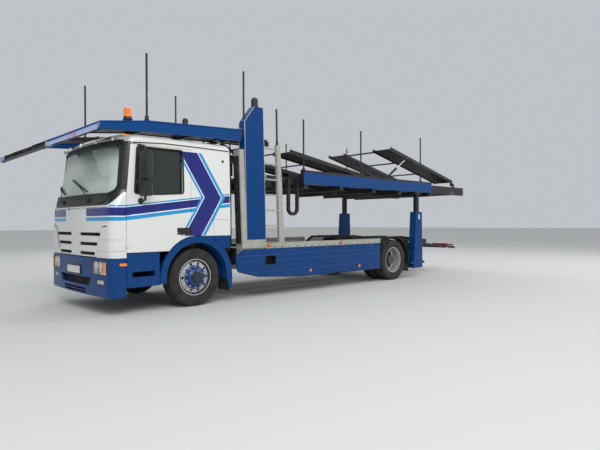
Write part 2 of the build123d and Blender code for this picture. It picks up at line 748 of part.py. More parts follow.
# Bumper: bowed shell with openings for lamps, plate and lower intakes
bumper_low = 270
bumper_high = 844
bumper_wall = 50
lamp_low = 600
lamp_high = 806
lamp_inner = cab_half - 545
lamp_outer = cab_half - 115
fog_inner = cab_half - 425
fog_outer = cab_half - 185
proud = 20
bumper_cut = (1000, cab_front + proud + 20)
with BuildPart() as bumper:
    extrude(cab_ring(bumper_low, cab_front + proud, cab_half, 600, low_corner, low_bow),
            amount=bumper_high - bumper_low)
    extrude(cab_ring(bumper_low, cab_front + proud - bumper_wall, cab_half - bumper_wall,
                     500, low_corner - bumper_wall, low_bow),
            amount=bumper_high - bumper_low, mode=Mode.SUBTRACT)
    chamfer(bumper.edges().group_by(Axis.Z)[0].filter_by(GeomType.LINE, reverse=True), 18)
    block((0, door_front + 4), (-cab_half - 155, cab_half + 155), (0, 1000), Mode.SUBTRACT)
    for side in (-1, 1):
        y_pair = sorted((side * lamp_inner, side * lamp_outer))
        block(bumper_cut, y_pair, (lamp_low, lamp_high), Mode.SUBTRACT)
        fog_pair = sorted((side * fog_inner, side * fog_outer))
        block(bumper_cut, fog_pair, (455, 530), Mode.SUBTRACT)
    along([(-560, 420), (560, 420), (650, 545), (-650, 545)], bumper_cut[0], bumper_cut[1],
          Mode.SUBTRACT)
    for z in (300, 345):
        block(bumper_cut, (-450, 450), (z, z + 30), Mode.SUBTRACT)
    # Brackets to the frame rails
    for side in (-1, 1):
        y_pair = sorted((side * (rail_y - rail_flange), side * rail_y))
        block((rail_front, cab_front + proud - bumper_wall + 10), y_pair, (600, 760))
save(bumper, "bumper")

# Headlamps and fog lamps as lenses that fill their openings
lamp_depth = 50


def lamp_lens(low, high, near, far):
    """Lens that follows the bumper's bow inside one opening."""
    with BuildPart() as lens:
        tall = high - low - 2 * seat_gap
        extrude(cab_ring(low + seat_gap, cab_front + proud - 6, cab_half - 6, 600,
                         low_corner - 6, low_bow), amount=tall)
        extrude(cab_ring(low + seat_gap, cab_front + proud - lamp_depth, cab_half - lamp_depth,
                         500, low_corner - lamp_depth, low_bow), amount=tall, mode=Mode.SUBTRACT)
        block(bumper_cut, (near + seat_gap, far - seat_gap), (low, high), Mode.INTERSECT)
    return lens.part


with BuildPart() as headlamps:
    add(lamp_lens(lamp_low, lamp_high, lamp_inner, lamp_outer))
    add(lamp_lens(455, 530, fog_inner, fog_outer))
    both_sides()
save(headlamps, "headlamps")

# Entry steps in a pressed side panel below the door
with BuildPart() as steps:
    tread_in, tread_out = cab_half - 315, cab_half - 45
    block((685, door_front - 4), (tread_out, cab_half), (410, door_low - 6))
    block((760, 1120), (tread_out - 10, cab_half + 1), (560, 640), Mode.SUBTRACT)
    for z in (410, 780, 1080):
        block((760, 1130), (tread_in, tread_out if z < 900 else tread_out - 25), (z, z + 30))
    block((700, 740), (rail_y, tread_out - 25), (700, 740))
    block((700, 760), (tread_in, tread_out - 25), (410, 1110))
    both_sides()
save(steps, "steps")

# Blue wheel arches with a lip outside and a thin liner inside
lip_inner_y = cab_half - 40
liner_inner_y = 850
liner = 12
arch_section = [
    (liner_inner_y, arch_inner), (cab_half, arch_inner), (cab_half, arch_outer),
    (lip_inner_y, arch_outer), (lip_inner_y, arch_inner + liner), (liner_inner_y, arch_inner + liner),
]
with BuildPart() as arches:
    ring_profile(arch_section, 0, axle_z)
    block((-arch_outer - 125, arch_outer + 125), (0, cab_half + 55), (-300, 420), Mode.SUBTRACT)
    block((-arch_outer - 125, -arch_inner + 1), (lip_inner_y, cab_half), (-300, 430),
          Mode.SUBTRACT)
    across([(-arch_outer, axle_z), (-arch_outer + 5, 260), (-arch_outer + 65, 260),
            (-arch_inner, axle_z)], lip_inner_y, cab_half)
    block((cab_rear, 60), (lip_inner_y, cab_half), (1085, cab_sill - seat_gap))
    # Stay from the frame rail to the liner
    block((-590, -560), (rail_y, lip_inner_y + 5), (700, 740))
    both_sides()
save(arches, "arches")

# Towers: plinth, leaning front post and inner plate on each side, joined above and below
post_wide = 100
plinth_inner = rail_y + 300
tower_lean = (2540 - tower_low, 56)
nose_ram_foot = (-840, 2600)


def front_at(z):
    """Forward edge of the leaning tower post at one height."""
    return tower_front + tower_lean[1] * (z - tower_low) / tower_lean[0]


with BuildPart() as towers:
    across([(tower_front, tower_low), (front_at(2640), 2640), (front_at(2640) - post_wide, 2640),
            (tower_front - post_wide, tower_low)], tower_inner, body_half)
    block((tower_rear, tower_front), (tower_inner, body_half), (tower_low, tower_panel_low))
    block((tower_rear, tower_front), (plinth_inner, skirt_inner - seat_gap),
          (rail_high, tower_low))
    across([(-960, tower_panel_low), (-930, 3100), (-1150, 3390), (-1345, 3390),
            (-1400, tower_panel_low)], tower_inner, tower_inner + 20)
    # Main deck hinge bracket and its pin, over-cab deck pin, ram bracket
    across([(-1330, 2080), (-1330, 2330), (-1530, 2260), (-1560, 2200), (-1530, 2140)],
           tower_inner, tower_inner + 20)
    rod((deck_pivot[0], 1020, deck_pivot[1]), (deck_pivot[0], tower_inner + 10, deck_pivot[1]), 35)
    rod((nose_pivot[0], 1000, nose_pivot[1]), (nose_pivot[0], tower_inner + 10, nose_pivot[1]), 35)
    across([(-935, 2540), (-935, 2640), (-830, 2630), (-808, 2600), (-830, 2565)], 1110, 1130)
    rod((nose_ram_foot[0], 1040, nose_ram_foot[1]), (nose_ram_foot[0], 1120, nose_ram_foot[1]), 16)
    # Cylinder cap on the tower's top
    rod((-1220, 1190, 3300), (-1220, 1190, 3550), 60)
    block((-1280, -1160), (1120, 1190), (3280, 3330))
    # Guard post at the shoulder
    rod((-985, 1175, 3000), (-985, 1175, 4040), guard_radius)
    block((-1001, -945), (tower_inner, 1190), (3000, 3040))
    both_sides()
    reach = tower_inner - seat_gap
    block((front_at(2540) - 110, front_at(2540) - 10), (-reach, reach), (2450, 2560))
    reach = plinth_inner - seat_gap
    block((tower_rear + 20, tower_rear + 120), (-reach, reach), (rail_high, 900))
save(towers, "towers")

# Blue tower covers: channel closed outside, in front, behind and on top
cover_sheet = 8
with BuildPart() as tower_covers:
    cover = [
        (-970, tower_panel_low), (-928, 3141), (-1152, tower_top), (-1347, tower_top),
        (tower_rear, tower_panel_low),
    ]
    across(cover, tower_inner + 20 + seat_gap, body_half)
    with BuildSketch(side_plane(body_half - cover_sheet)) as hollow:
        with BuildLine():
            Polyline(*cover, close=True)
        make_face()
        offset(amount=-cover_sheet, kind=Kind.INTERSECTION)
    extrude(hollow.sketch, amount=200, mode=Mode.SUBTRACT)
    rod((-1220, 1190, 3300), (-1220, 1190, 3550), 62, Mode.SUBTRACT)
    block((-1003, -900), (1100, 1193), (2990, 3043), Mode.SUBTRACT)
    rod((-985, 1175, 3000), (-985, 1175, 3600), guard_radius + 3, Mode.SUBTRACT)
    both_sides()
save(tower_covers, "tower_covers")

# Ladders: leaning stringer, rungs to the tower and a guard post on top
rung_z = (1300, 1585, 1870, 2153, 2437, 2720)
with BuildPart() as ladders:
    across([(-1867, shelf_high), (-1742, shelf_high), (-1678, 2800), (-1764, 2800)], 1205, 1265)
    for z in rung_z:
        lean = (z - tower_panel_low) / (tower_top - tower_panel_low)
        block((-1775, tower_rear + lean * 57 - seat_gap), (1222, 1248), (z - 12, z + 12))
    rod((-1712, 1235, 2790), (-1700, 1235, 3470), guard_radius)
    both_sides()
save(ladders, "ladders")

# Light grey side rails on the outriggers
with BuildPart() as side_rails:
    block((shelf_rear, tower_rear - seat_gap), (1200, body_half - 5), (shelf_low, shelf_high))
    for x in outrigger_x:
        block((x - outrigger_half, x + outrigger_half), (1200, skirt_inner),
              (rail_high, shelf_low))
    both_sides()
save(side_rails, "side_rails")

# Blue side skirts with the chamfered front, a square port and a folded foot
with BuildPart() as skirts:
    skirt = [
        (-894, 887), (-733, 755), (-784, 510), (-1227, 399), (-2270, 329),
        (shelf_rear + 1, 315), (shelf_rear + 1, 887),
    ]
    across(skirt, skirt_inner, skirt_inner + 25)
    block((-1650, -1390), (skirt_inner - 5, skirt_inner + 30), (600, 760), Mode.SUBTRACT)
    block((shelf_rear + 6, -2300), (skirt_inner - 40, skirt_inner), (335, 345))
    block((tower_rear, tower_front - 60), (1230, skirt_inner), (640, 780))
    both_sides()
save(skirts, "skirts")


def trough(points, depth=40):
    """Track that follows (x, z) points of its running face, with folded edges."""
    top = [(x, z) for x, z in points]
    low = [(x, z - plate) for x, z in reversed(points)]
    across(top + low, track_inner, track_outer)
    lip_top = [(x, z + track_lip) for x, z in points]
    lip_low = [(x, z - depth) for x, z in reversed(points)]
    for y in (track_inner, track_outer - plate):
        across(lip_top + lip_low, y, y + plate)


# Lower deck: tracks that climb over the rear wheels, and the slope at the tail with the
# guides that the extension runs in
slope = 0.094
lower_end = rear_axle_x - 1700
lower_front = tower_rear - 10
slope_start = rear_axle_x - 550
guide_front = rear_axle_x - 1240
lower_lip_depth = 24
ext_drop = 60
ext_lip = 50
ext_inset = 20


def slope_at(x, drop):
    """Point a drop below the running face of the sloping tail."""
    return (x, hump_z + slope * (x - slope_start) - drop)


def slope_band(x_rear, x_front, drop_top, drop_low, y_in, y_out):
    """Straight strip along the tail's slope."""
    across([slope_at(x_rear, drop_top), slope_at(x_front, drop_top),
            slope_at(x_front, drop_low), slope_at(x_rear, drop_low)], y_in, y_out)


lower_path = [
    (lower_front, lower_z), (rear_axle_x + 800, lower_z), (rear_axle_x + 550, hump_z),
    (slope_start, hump_z),
    slope_at(lower_end, 0),
]
with BuildPart() as lower_deck:
    trough(lower_path, lower_lip_depth)
    shelf_drop = ext_drop + ext_lip + seat_gap
    slope_band(lower_end + 10, guide_front, plate, shelf_drop + 12, track_outer - plate,
               track_outer)
    slope_band(lower_end + 10, guide_front, shelf_drop, shelf_drop + 12, track_outer - 40,
               track_outer)
    for x in (-1700, -2425, -3375, rear_axle_x + 1100):
        block((x - 30, x + 30), (rail_y - rail_flange, 1100),
              (rail_high + seat_gap, lower_z - lower_lip_depth - seat_gap))
    block((post_x - 30, post_x + 30), (track_outer - plate, track_outer), (rail_high, hump_z - 55))
    # Portals on the frame rails between the raised tracks, and the tail bar
    between = track_inner - seat_gap
    for x in (rear_axle_x + 250, rear_axle_x - 300):
        block((x - 30, x + 30), (rail_y - rail_flange, between), (rail_high + seat_gap, hump_z - plate))
        block((x - 30, x + 30), (0, between), (hump_z - 65, hump_z - 25))
    block((lower_end + 30, lower_end + 90), (0, between), (hump_z - 149, hump_z - 109))
    both_sides()
save(lower_deck, "lower_deck")

# Lower extension: narrower tracks that run out from under the tail of the deck
lower_rear = rear_axle_x - 3220
lower_ext_front = rear_axle_x - 1400
with BuildPart() as lower_extension:
    ext_in, ext_out = track_inner + ext_inset, track_outer - ext_inset
    for y in (ext_in, ext_out - plate):
        slope_band(lower_rear, lower_ext_front, ext_drop, ext_drop + ext_lip, y, y + plate)
    slope_band(lower_rear, lower_ext_front, ext_drop, ext_drop + plate, ext_in, ext_out)
    both_sides()
    for x in (lower_ext_front - 50, lower_ext_front - 900, lower_rear + 40):
        z = slope_at(x, ext_drop + 30)[1]
        block((x - 25, x + 25), (-ext_in - 5, ext_in + 5), (z - 15, z + 15))
save(lower_extension, "lower_extension")

# Rear posts: blue sleeves, flared at the foot, open on top for the sliding posts
sleeve_top = 1620
with BuildPart() as rear_posts:
    sleeve = [(-130, sleeve_top), (130, sleeve_top), (180, 900), (230, 400), (230, 235),
              (-150, 235), (-150, 400), (-140, 900)]
    across([(post_x + dx, z) for dx, z in sleeve], tower_inner + seat_gap, body_half)
    block((post_x - 240, post_x + 340), (tower_inner + 60, body_half), (340, 400))
    reach = post_half + post_gap
    block((post_x - reach, post_x + reach), (post_inner_y - reach, post_inner_y + reach),
          (260, sleeve_top + 10), Mode.SUBTRACT)
    both_sides()
save(rear_posts, "rear_posts")

# Sliding posts with a round head under the beam's pad
head_radius = 45
head_gap = 0.8
pad_low = 2060
head_z = pad_low - head_radius - head_gap
with BuildPart() as inner_posts:
    block((post_x - post_half, post_x + post_half),
          (post_inner_y - post_half, post_inner_y + post_half),
          (650, head_z))
    rod((post_x, post_inner_y - post_half, head_z), (post_x, post_inner_y + post_half, head_z),
        head_radius)
    both_sides()
save(inner_posts, "inner_posts")

# Rear mudguards outside the tracks
guard_inner = tyre_radius + 65
with BuildPart() as mudguards:
    with BuildSketch(side_plane(1255)) as band:
        with Locations((rear_axle_x, axle_z)):
            Circle(guard_inner + 14)
            Circle(guard_inner, mode=Mode.SUBTRACT)
            with Locations((0, -400)):
                Rectangle(2000, 660, mode=Mode.SUBTRACT)
    extrude(band.sketch, amount=200)
    block((rear_axle_x - 30, rear_axle_x + 30), (track_outer, 1060),
          (hump_z - 15, axle_z + guard_inner + 5))
    both_sides()
save(mudguards, "mudguards")

# Tail lamps on a bar behind the frame
with BuildPart() as tail_lamps:
    block((rail_rear - 60, rail_rear - seat_gap), (-1080, 1080), (610, 690))
    for side in (-1, 1):
        y_pair = sorted((side * 560, side * 1060))
        block((rail_rear - 100, rail_rear - 60), y_pair, (590, 710))
save(tail_lamps, "tail_lamps")

# Over-cab deck: side beams that droop at the nose, tracks and cross members
nose_beam = [
    (-870, 2787), (-870, 2987), (840, 2901), (1592, 2799), (nose_reach, 2441),
    (nose_reach, 2370), (1592, 2694), (840, 2738),
]
nose_track = [(-1650, 2875), (840, 2830), (1592, 2745), (2250, 2425)]
nose_lip_depth = 20
nose_ram_head = (-450, 2780)
pad_x = (1170, 870)
beacon_z = 2868
post_foot_z = 2906
nose_beam_inner = 1180
inner_member = (1025, 1065)


def nose_face(x):
    """Height of the over-cab track's running face."""
    for (x_a, z_a), (x_b, z_b) in zip(nose_track, nose_track[1:]):
        if x <= x_b:
            break
    return z_a + (z_b - z_a) * (x - x_a) / (x_b - x_a)


def nose_cross(x, half, y_reach):
    """Cross member under the over-cab tracks that follows their slope."""
    rear, front = (x - half, nose_face(x - half)), (x + half, nose_face(x + half))
    drop = nose_lip_depth + seat_gap
    across([(rear[0], rear[1] - drop), (front[0], front[1] - drop),
            (front[0], front[1] - drop - 44), (rear[0], rear[1] - drop - 44)], -y_reach, y_reach)


with BuildPart() as front_deck:
    across(nose_beam, nose_beam_inner, 1260)
    trough(nose_track, nose_lip_depth)
    # Inner side members with the pivot eye
    member_front = -760 - 25 - seat_gap
    across([(-1650, 2790), (-1650, 2880), (member_front, 2870), (member_front, 2780)],
           *inner_member)
    rod((nose_pivot[0], 1025, nose_pivot[1]), (nose_pivot[0], 1065, nose_pivot[1]), 62)
    rod((nose_pivot[0], 1000, nose_pivot[1]), (nose_pivot[0], 1070, nose_pivot[1]),
        35 + pin_gap, Mode.SUBTRACT)
    across([(-500, 2750), (-400, 2750), (-400, 2800), (-500, 2800)], 1100, 1190)
    rod((nose_ram_head[0], 1045, nose_ram_head[1]), (nose_ram_head[0], 1110, nose_ram_head[1]), 14)
    both_sides()
    for x in (-760, 0, 840, 1592, 2220):
        nose_cross(x, 25, nose_beam_inner - seat_gap)
    nose_cross(-1620, 20, inner_member[0] - seat_gap)
    # Pads on the beams for the beacon and the guard posts
    block((pad_x[0] - 62, pad_x[0] + 62), (1180, 1260), (2800, beacon_z))
    for y in (-1260, 1180):
        block((pad_x[1] - 45, pad_x[1] + 45), (y, y + 80), (2840, post_foot_z))
save(front_deck, "front_deck")

with BuildPart() as front_deck_posts:
    rod((pad_x[1], 1220, post_foot_z), (pad_x[1], 1220, 3895), guard_radius)
    rod((pad_x[1], 1220, post_foot_z), (pad_x[1], 1220, post_foot_z + 14), 38)
    both_sides()
save(front_deck_posts, "front_deck_posts")

with BuildPart() as beacon:
    rod((pad_x[0], 1220, beacon_z), (pad_x[0], 1220, 2920), 62)
    rod((pad_x[0], 1220, 2920), (pad_x[0], 1220, 3060), 56)
save(beacon, "beacon")

# Rams of the over-cab deck
ram_way = Vector(nose_ram_head[0] - nose_ram_foot[0], 0, nose_ram_head[1] - nose_ram_foot[1])
ram_dir = ram_way.normalized()
ram_y = 1070
ram_eye_gap = 3


def ram_at(s):
    """Point on the ram's centre line, s from its foot."""
    return (nose_ram_foot[0] + ram_dir.X * s, ram_y, nose_ram_foot[1] + ram_dir.Z * s)


with BuildPart() as nose_ram_barrels:
    rod((nose_ram_foot[0], ram_y - 20, nose_ram_foot[1]),
        (nose_ram_foot[0], ram_y + 20, nose_ram_foot[1]), 30)
    rod(ram_at(20), ram_at(300), 30)
    rod(ram_at(60), ram_at(310), 16 + pin_gap, Mode.SUBTRACT)
    rod((nose_ram_foot[0], ram_y - 30, nose_ram_foot[1]),
        (nose_ram_foot[0], ram_y + 30, nose_ram_foot[1]), 16 + pin_gap, Mode.SUBTRACT)
    both_sides()
save(nose_ram_barrels, "nose_ram_barrels")
with BuildPart() as nose_ram_rods:
    rod(ram_at(70), ram_at(ram_way.length - 15), 16)
    rod((nose_ram_head[0], ram_y - 14, nose_ram_head[1]),
        (nose_ram_head[0], ram_y + 14, nose_ram_head[1]), 26)
    rod((nose_ram_head[0], ram_y - 30, nose_ram_head[1]),
        (nose_ram_head[0], ram_y + 30, nose_ram_head[1]), 14 + ram_eye_gap, Mode.SUBTRACT)
    both_sides()
save(nose_ram_rods, "nose_ram_rods")

# Main deck: blue box beams
cross_low = 2030
main_cross_x = (-2450, -3500, rear_axle_x + 800, rear_axle_x - 200, post_x, beam_rear + 55)
with BuildPart() as main_deck_beams:
    block((beam_rear, beam_front), (beam_inner, beam_outer), (beam_low, beam_high))
    block((beam_rear - 10, beam_front + 10), (beam_inner + 8, beam_outer - 8),
          (beam_low + 8, beam_high - 8), Mode.SUBTRACT)
    both_sides()
save(main_deck_beams, "main_deck_beams")

# Cable carrier that hangs in a loop below the hinge arm: links along two legs and a half turn
carrier_x = -2225
carrier_y = 1105
carrier_bend = 115
carrier_top = 2160
carrier_low = 1645
link_pitch = 52
link_half = 28
link_wide = (30, 25)


def carrier_at(s):
    """Middle of the carrier at length s from its front end: x, z and turn in degrees."""
    leg, half_turn = carrier_top - carrier_low, pi * carrier_bend
    if s < leg:
        return carrier_x + carrier_bend, carrier_top - s, 90
    if s < leg + half_turn:
        turn = (s - leg) / carrier_bend
        return (carrier_x + carrier_bend * cos(turn), carrier_low - carrier_bend * sin(turn),
                90 - turn * 180 / pi)
    return carrier_x - carrier_bend, carrier_low + s - leg - half_turn, 90


carrier_length = 2 * (carrier_top - carrier_low) + pi * carrier_bend
link_count = round(carrier_length / link_pitch)
link_step = carrier_length / link_count
with BuildPart() as cable_carrier:
    for i in range(link_count):
        x, z, turn = carrier_at((i + 0.5) * link_step)
        wide = link_wide[i % 2]
        with BuildSketch(side_plane(carrier_y + wide)) as link:
            with Locations((x, z)):
                SlotOverall(link_step + 1.3 * link_half, 2 * link_half, rotation=turn)
        extrude(link.sketch, amount=2 * wide)
    block((-2400, -2050), (carrier_y - 50, carrier_y + 50), (carrier_top, carrier_top + 60),
          Mode.SUBTRACT)
save(cable_carrier, "cable_carrier")

# Main deck frame: hinge arms, cross members and the pads over the sliding posts
with BuildPart() as main_deck_frame:
    arm_foot = beam_low + seat_gap
    across([(-1500, 2140), (-1500, 2260), (-2600, 2230), (-2600, arm_foot), (-2100, arm_foot)],
           1030, 1062)
    rod((deck_pivot[0], 1030, deck_pivot[1]), (deck_pivot[0], 1062, deck_pivot[1]), 62)
    rod((deck_pivot[0], 1000, deck_pivot[1]), (deck_pivot[0], 1070, deck_pivot[1]),
        35 + pin_gap, Mode.SUBTRACT)
    block((post_x - 110, post_x + 110), (1130, 1250), (pad_low, beam_low))
    both_sides()
    # Shoes that hold the two ends of the cable carrier
    for x in (carrier_x - carrier_bend, carrier_x + carrier_bend):
        block((x - 32, x + 32), (1062, carrier_y + 35), (carrier_top + seat_gap, carrier_top + 70))
    for x in main_cross_x:
        block((x - 50, x + 50), (-beam_outer + 10, beam_outer - 10), (cross_low, beam_low))
    block((post_x - 60, post_x + 60), (-1260, -1120), (cross_low - 1, pad_low), Mode.SUBTRACT)
    block((post_x - 60, post_x + 60), (1120, 1260), (cross_low - 1, pad_low), Mode.SUBTRACT)
save(main_deck_frame, "main_deck_frame")

front_tray_pivot = (rear_axle_x + 200, main_z + 30)
tray_pin = 10
tray_inset = 15
with BuildPart() as main_deck_tracks:
    trough([(-2200, main_z), (beam_rear, main_z)], main_z - beam_low)
    for y in (track_inner + plate / 2, track_outer - tray_inset - 15):
        rod((front_tray_pivot[0], y, front_tray_pivot[1]),
            (front_tray_pivot[0], y + tray_inset + 11, front_tray_pivot[1]), tray_pin)
    both_sides()
save(main_deck_tracks, "main_deck_tracks")

with BuildPart() as main_deck_posts:
    for x, top in ((-2410, 3380), (-4164, 3370), (-6516, 3490)):
        rod((x, 1225, beam_high), (x, 1225, top), guard_radius)
        rod((x, 1225, beam_high), (x, 1225, beam_high + 60), 28)
    both_sides()
save(main_deck_posts, "main_deck_posts")

# Upper extension: rails beside the tracks, tail tracks and cross members
ext_rail_in = 1060
ext_rail_out = 1130
ext_track_depth = 60
rear_tray_pivot = (rear_axle_x - 3000, 2420)
rear_tray_pin = 20
strut_foot = (rear_axle_x + 150, 2410)
strut_head = (rear_axle_x - 570, 2880)
strut_pin = 14
ext_front = rear_axle_x + 350
with BuildPart() as upper_extension:
    block((-tail_reach, ext_front), (ext_rail_in, ext_rail_out), (beam_low + seat_gap, 2335))
    block((-tail_reach - 1, ext_front + 1), (ext_rail_in + 8, ext_rail_out - 8),
          (beam_low + plate, 2335 - plate), Mode.SUBTRACT)
    trough([(beam_rear - 920, main_z), (-tail_reach, main_z)], ext_track_depth)
    for x in (rear_tray_pivot[0], strut_foot[0]):
        across([(x - 60, 2335), (x + 60, 2335), (x + 30, 2450), (x - 30, 2450)],
               ext_rail_in, ext_rail_in + 15)
    rod((rear_tray_pivot[0], 1000, rear_tray_pivot[1]),
        (rear_tray_pivot[0], ext_rail_in + 5, rear_tray_pivot[1]), rear_tray_pin)
    rod((strut_foot[0], ext_rail_in + 5, strut_foot[1]), (strut_foot[0], 1125, strut_foot[1]),
        strut_pin)
    both_sides()
    bar_end = ext_rail_in - seat_gap
    for x in (beam_rear - 975, 50 - tail_reach):
        block((x - 40, x + 40), (-bar_end, bar_end), (2150, main_z - ext_track_depth - seat_gap))
save(upper_extension, "upper_extension")

# Front platform: raised tray hinged at its rear end
front_tray_slope = radians(8.6)
rear_tray_slope = radians(12.7)


def tray(pivot, tilt, length, lift, inner, outer):
    """Pair of plates with lips along a slope that rises forward from the pivot."""
    def place(s, h):
        return (pivot[0] + s * cos(tilt) - h * sin(tilt), pivot[1] + s * sin(tilt) + h * cos(tilt))
    across([place(-30, lift), place(length, lift), place(length, lift - plate),
            place(-30, lift - plate)], inner, outer)
    for y in (inner, outer - plate):
        across([place(-30, lift + 50), place(length, lift + 50), place(length, lift - 30),
                place(-30, lift - 30)], y, y + plate)
    return place


with BuildPart() as front_platform:
    spot = tray(front_tray_pivot, front_tray_slope, 2990, 10, track_inner + tray_inset,
                track_outer - tray_inset)
    rod((front_tray_pivot[0], track_inner, front_tray_pivot[1]),
        (front_tray_pivot[0], track_outer, front_tray_pivot[1]), tray_pin + pin_gap, Mode.SUBTRACT)
    both_sides()
    bar_end = track_inner + tray_inset - seat_gap
    for s in (20, 1000, 2000, 2930):
        x, z = spot(s, 36)
        block((x - 20, x + 20), (-bar_end, bar_end), (z - 12, z + 12))
save(front_platform, "front_platform")

with BuildPart() as rear_platform:
    spot = tray(rear_tray_pivot, rear_tray_slope, 2960, 75, track_inner, track_outer)
    across([spot(-40, -40), spot(60, -40), spot(60, 60), spot(-40, 60)], 1000, 1018)
    rod((rear_tray_pivot[0], 990, rear_tray_pivot[1]), (rear_tray_pivot[0], 1030, rear_tray_pivot[1]),
        rear_tray_pin + pin_gap, Mode.SUBTRACT)
    both_sides()
    bar_end = track_inner - seat_gap
    for s in (120, 1000, 2000, 2900):
        x, z = spot(s, 60)
        block((x - 25, x + 25), (-bar_end, bar_end), (z - 15, z + 15))
save(rear_platform, "rear_platform")

# Struts under the rear platform
strut_way = Vector(strut_head[0] - strut_foot[0], 0, strut_head[1] - strut_foot[1])
strut_dir = strut_way.normalized()
strut_y = 1104


def strut_at(s):
    """Point on the strut's centre line, s from its foot."""
    return (strut_foot[0] + strut_dir.X * s, strut_y, strut_foot[1] + strut_dir.Z * s)


with BuildPart() as strut_barrels:
    rod((strut_foot[0], strut_y - 16, strut_foot[1]), (strut_foot[0], strut_y + 16, strut_foot[1]), 28)
    rod(strut_at(15), strut_at(480), 26)
    rod(strut_at(50), strut_at(490), 14 + pin_gap, Mode.SUBTRACT)
    rod((strut_foot[0], strut_y - 40, strut_foot[1]), (strut_foot[0], strut_y + 40, strut_foot[1]),
        14 + pin_gap, Mode.SUBTRACT)
    both_sides()
save(strut_barrels, "strut_barrels")
with BuildPart() as strut_rods:
    rod(strut_at(400), strut_at(strut_way.length - 10), 14)
    rod((strut_head[0], strut_y - 14, strut_head[1]), (strut_head[0], strut_y + 14, strut_head[1]), 24)
    both_sides()
save(strut_rods, "strut_rods")
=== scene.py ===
import json
from functools import cached_property
from itertools import product
from math import acos, copysign, cos, hypot, pi, radians, sin, tan

import bmesh
import bpy
from mathutils import Matrix, Vector
from mathutils.bvhtree import BVHTree


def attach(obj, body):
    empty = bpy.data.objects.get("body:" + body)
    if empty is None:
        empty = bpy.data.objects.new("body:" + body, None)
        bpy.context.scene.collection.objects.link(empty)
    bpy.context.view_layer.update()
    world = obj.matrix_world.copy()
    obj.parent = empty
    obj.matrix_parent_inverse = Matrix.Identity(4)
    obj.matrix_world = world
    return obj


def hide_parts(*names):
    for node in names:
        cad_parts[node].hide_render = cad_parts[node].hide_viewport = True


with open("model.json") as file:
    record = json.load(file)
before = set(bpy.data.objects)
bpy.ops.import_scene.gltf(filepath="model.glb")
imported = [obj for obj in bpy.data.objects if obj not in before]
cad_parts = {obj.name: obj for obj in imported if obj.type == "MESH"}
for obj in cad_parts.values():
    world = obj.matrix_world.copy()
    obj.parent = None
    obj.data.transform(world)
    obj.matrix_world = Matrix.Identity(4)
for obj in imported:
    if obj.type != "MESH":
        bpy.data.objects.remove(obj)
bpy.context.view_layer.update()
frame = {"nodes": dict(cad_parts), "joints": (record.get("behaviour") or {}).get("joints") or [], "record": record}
nodes = frame["nodes"]
scene = bpy.context.scene

# Places that the frame gives, in metres. Every x below is a distance forward of the front axle.
joint_at = {j["name"]: Vector(j["pos_m"]) for j in frame["joints"] if "pos_m" in j}
front_axle_x = joint_at["front_left_roll"].x
rear_axle = joint_at["rear_left_roll"].x - front_axle_x
axle_z = joint_at["front_left_roll"].z

AHEAD, LEFT, UP = (1, 0, 0), (0, 1, 0), (0, 0, 1)
SIDES = (("left", 1), ("right", -1))


def make_camera():
    """The photograph's place and view, with the image 600 by 450."""
    data = bpy.data.cameras.new("camera")
    data.sensor_width = 36.0
    data.lens = 29.98
    data.clip_end = 500.0
    camera = bpy.data.objects.new("camera", data)
    camera.location = (7.6865, 8.2551, 1.3455)
    camera.rotation_euler = [radians(a) for a in (89.826, 0.226, 136.338)]
    scene.collection.objects.link(camera)
    scene.camera = camera


# Materials
def operator(kind, swapped=False):
    """Method that joins a value and what it meets by a maths node."""
    def method(self, *others):
        values = (self, *others)
        return self.tree.math(kind, *(values[::-1] if swapped else values))
    return method


class Value:
    """A shader node's output, for sums, products and comparisons."""

    def __init__(self, tree, socket):
        self.tree, self.socket = tree, socket

    __add__, __sub__, __mul__ = operator("ADD"), operator("SUBTRACT"), operator("MULTIPLY")
    __rsub__ = operator("SUBTRACT", swapped=True)
    __gt__, __lt__, __abs__ = operator("GREATER_THAN"), operator("LESS_THAN"), operator("ABSOLUTE")


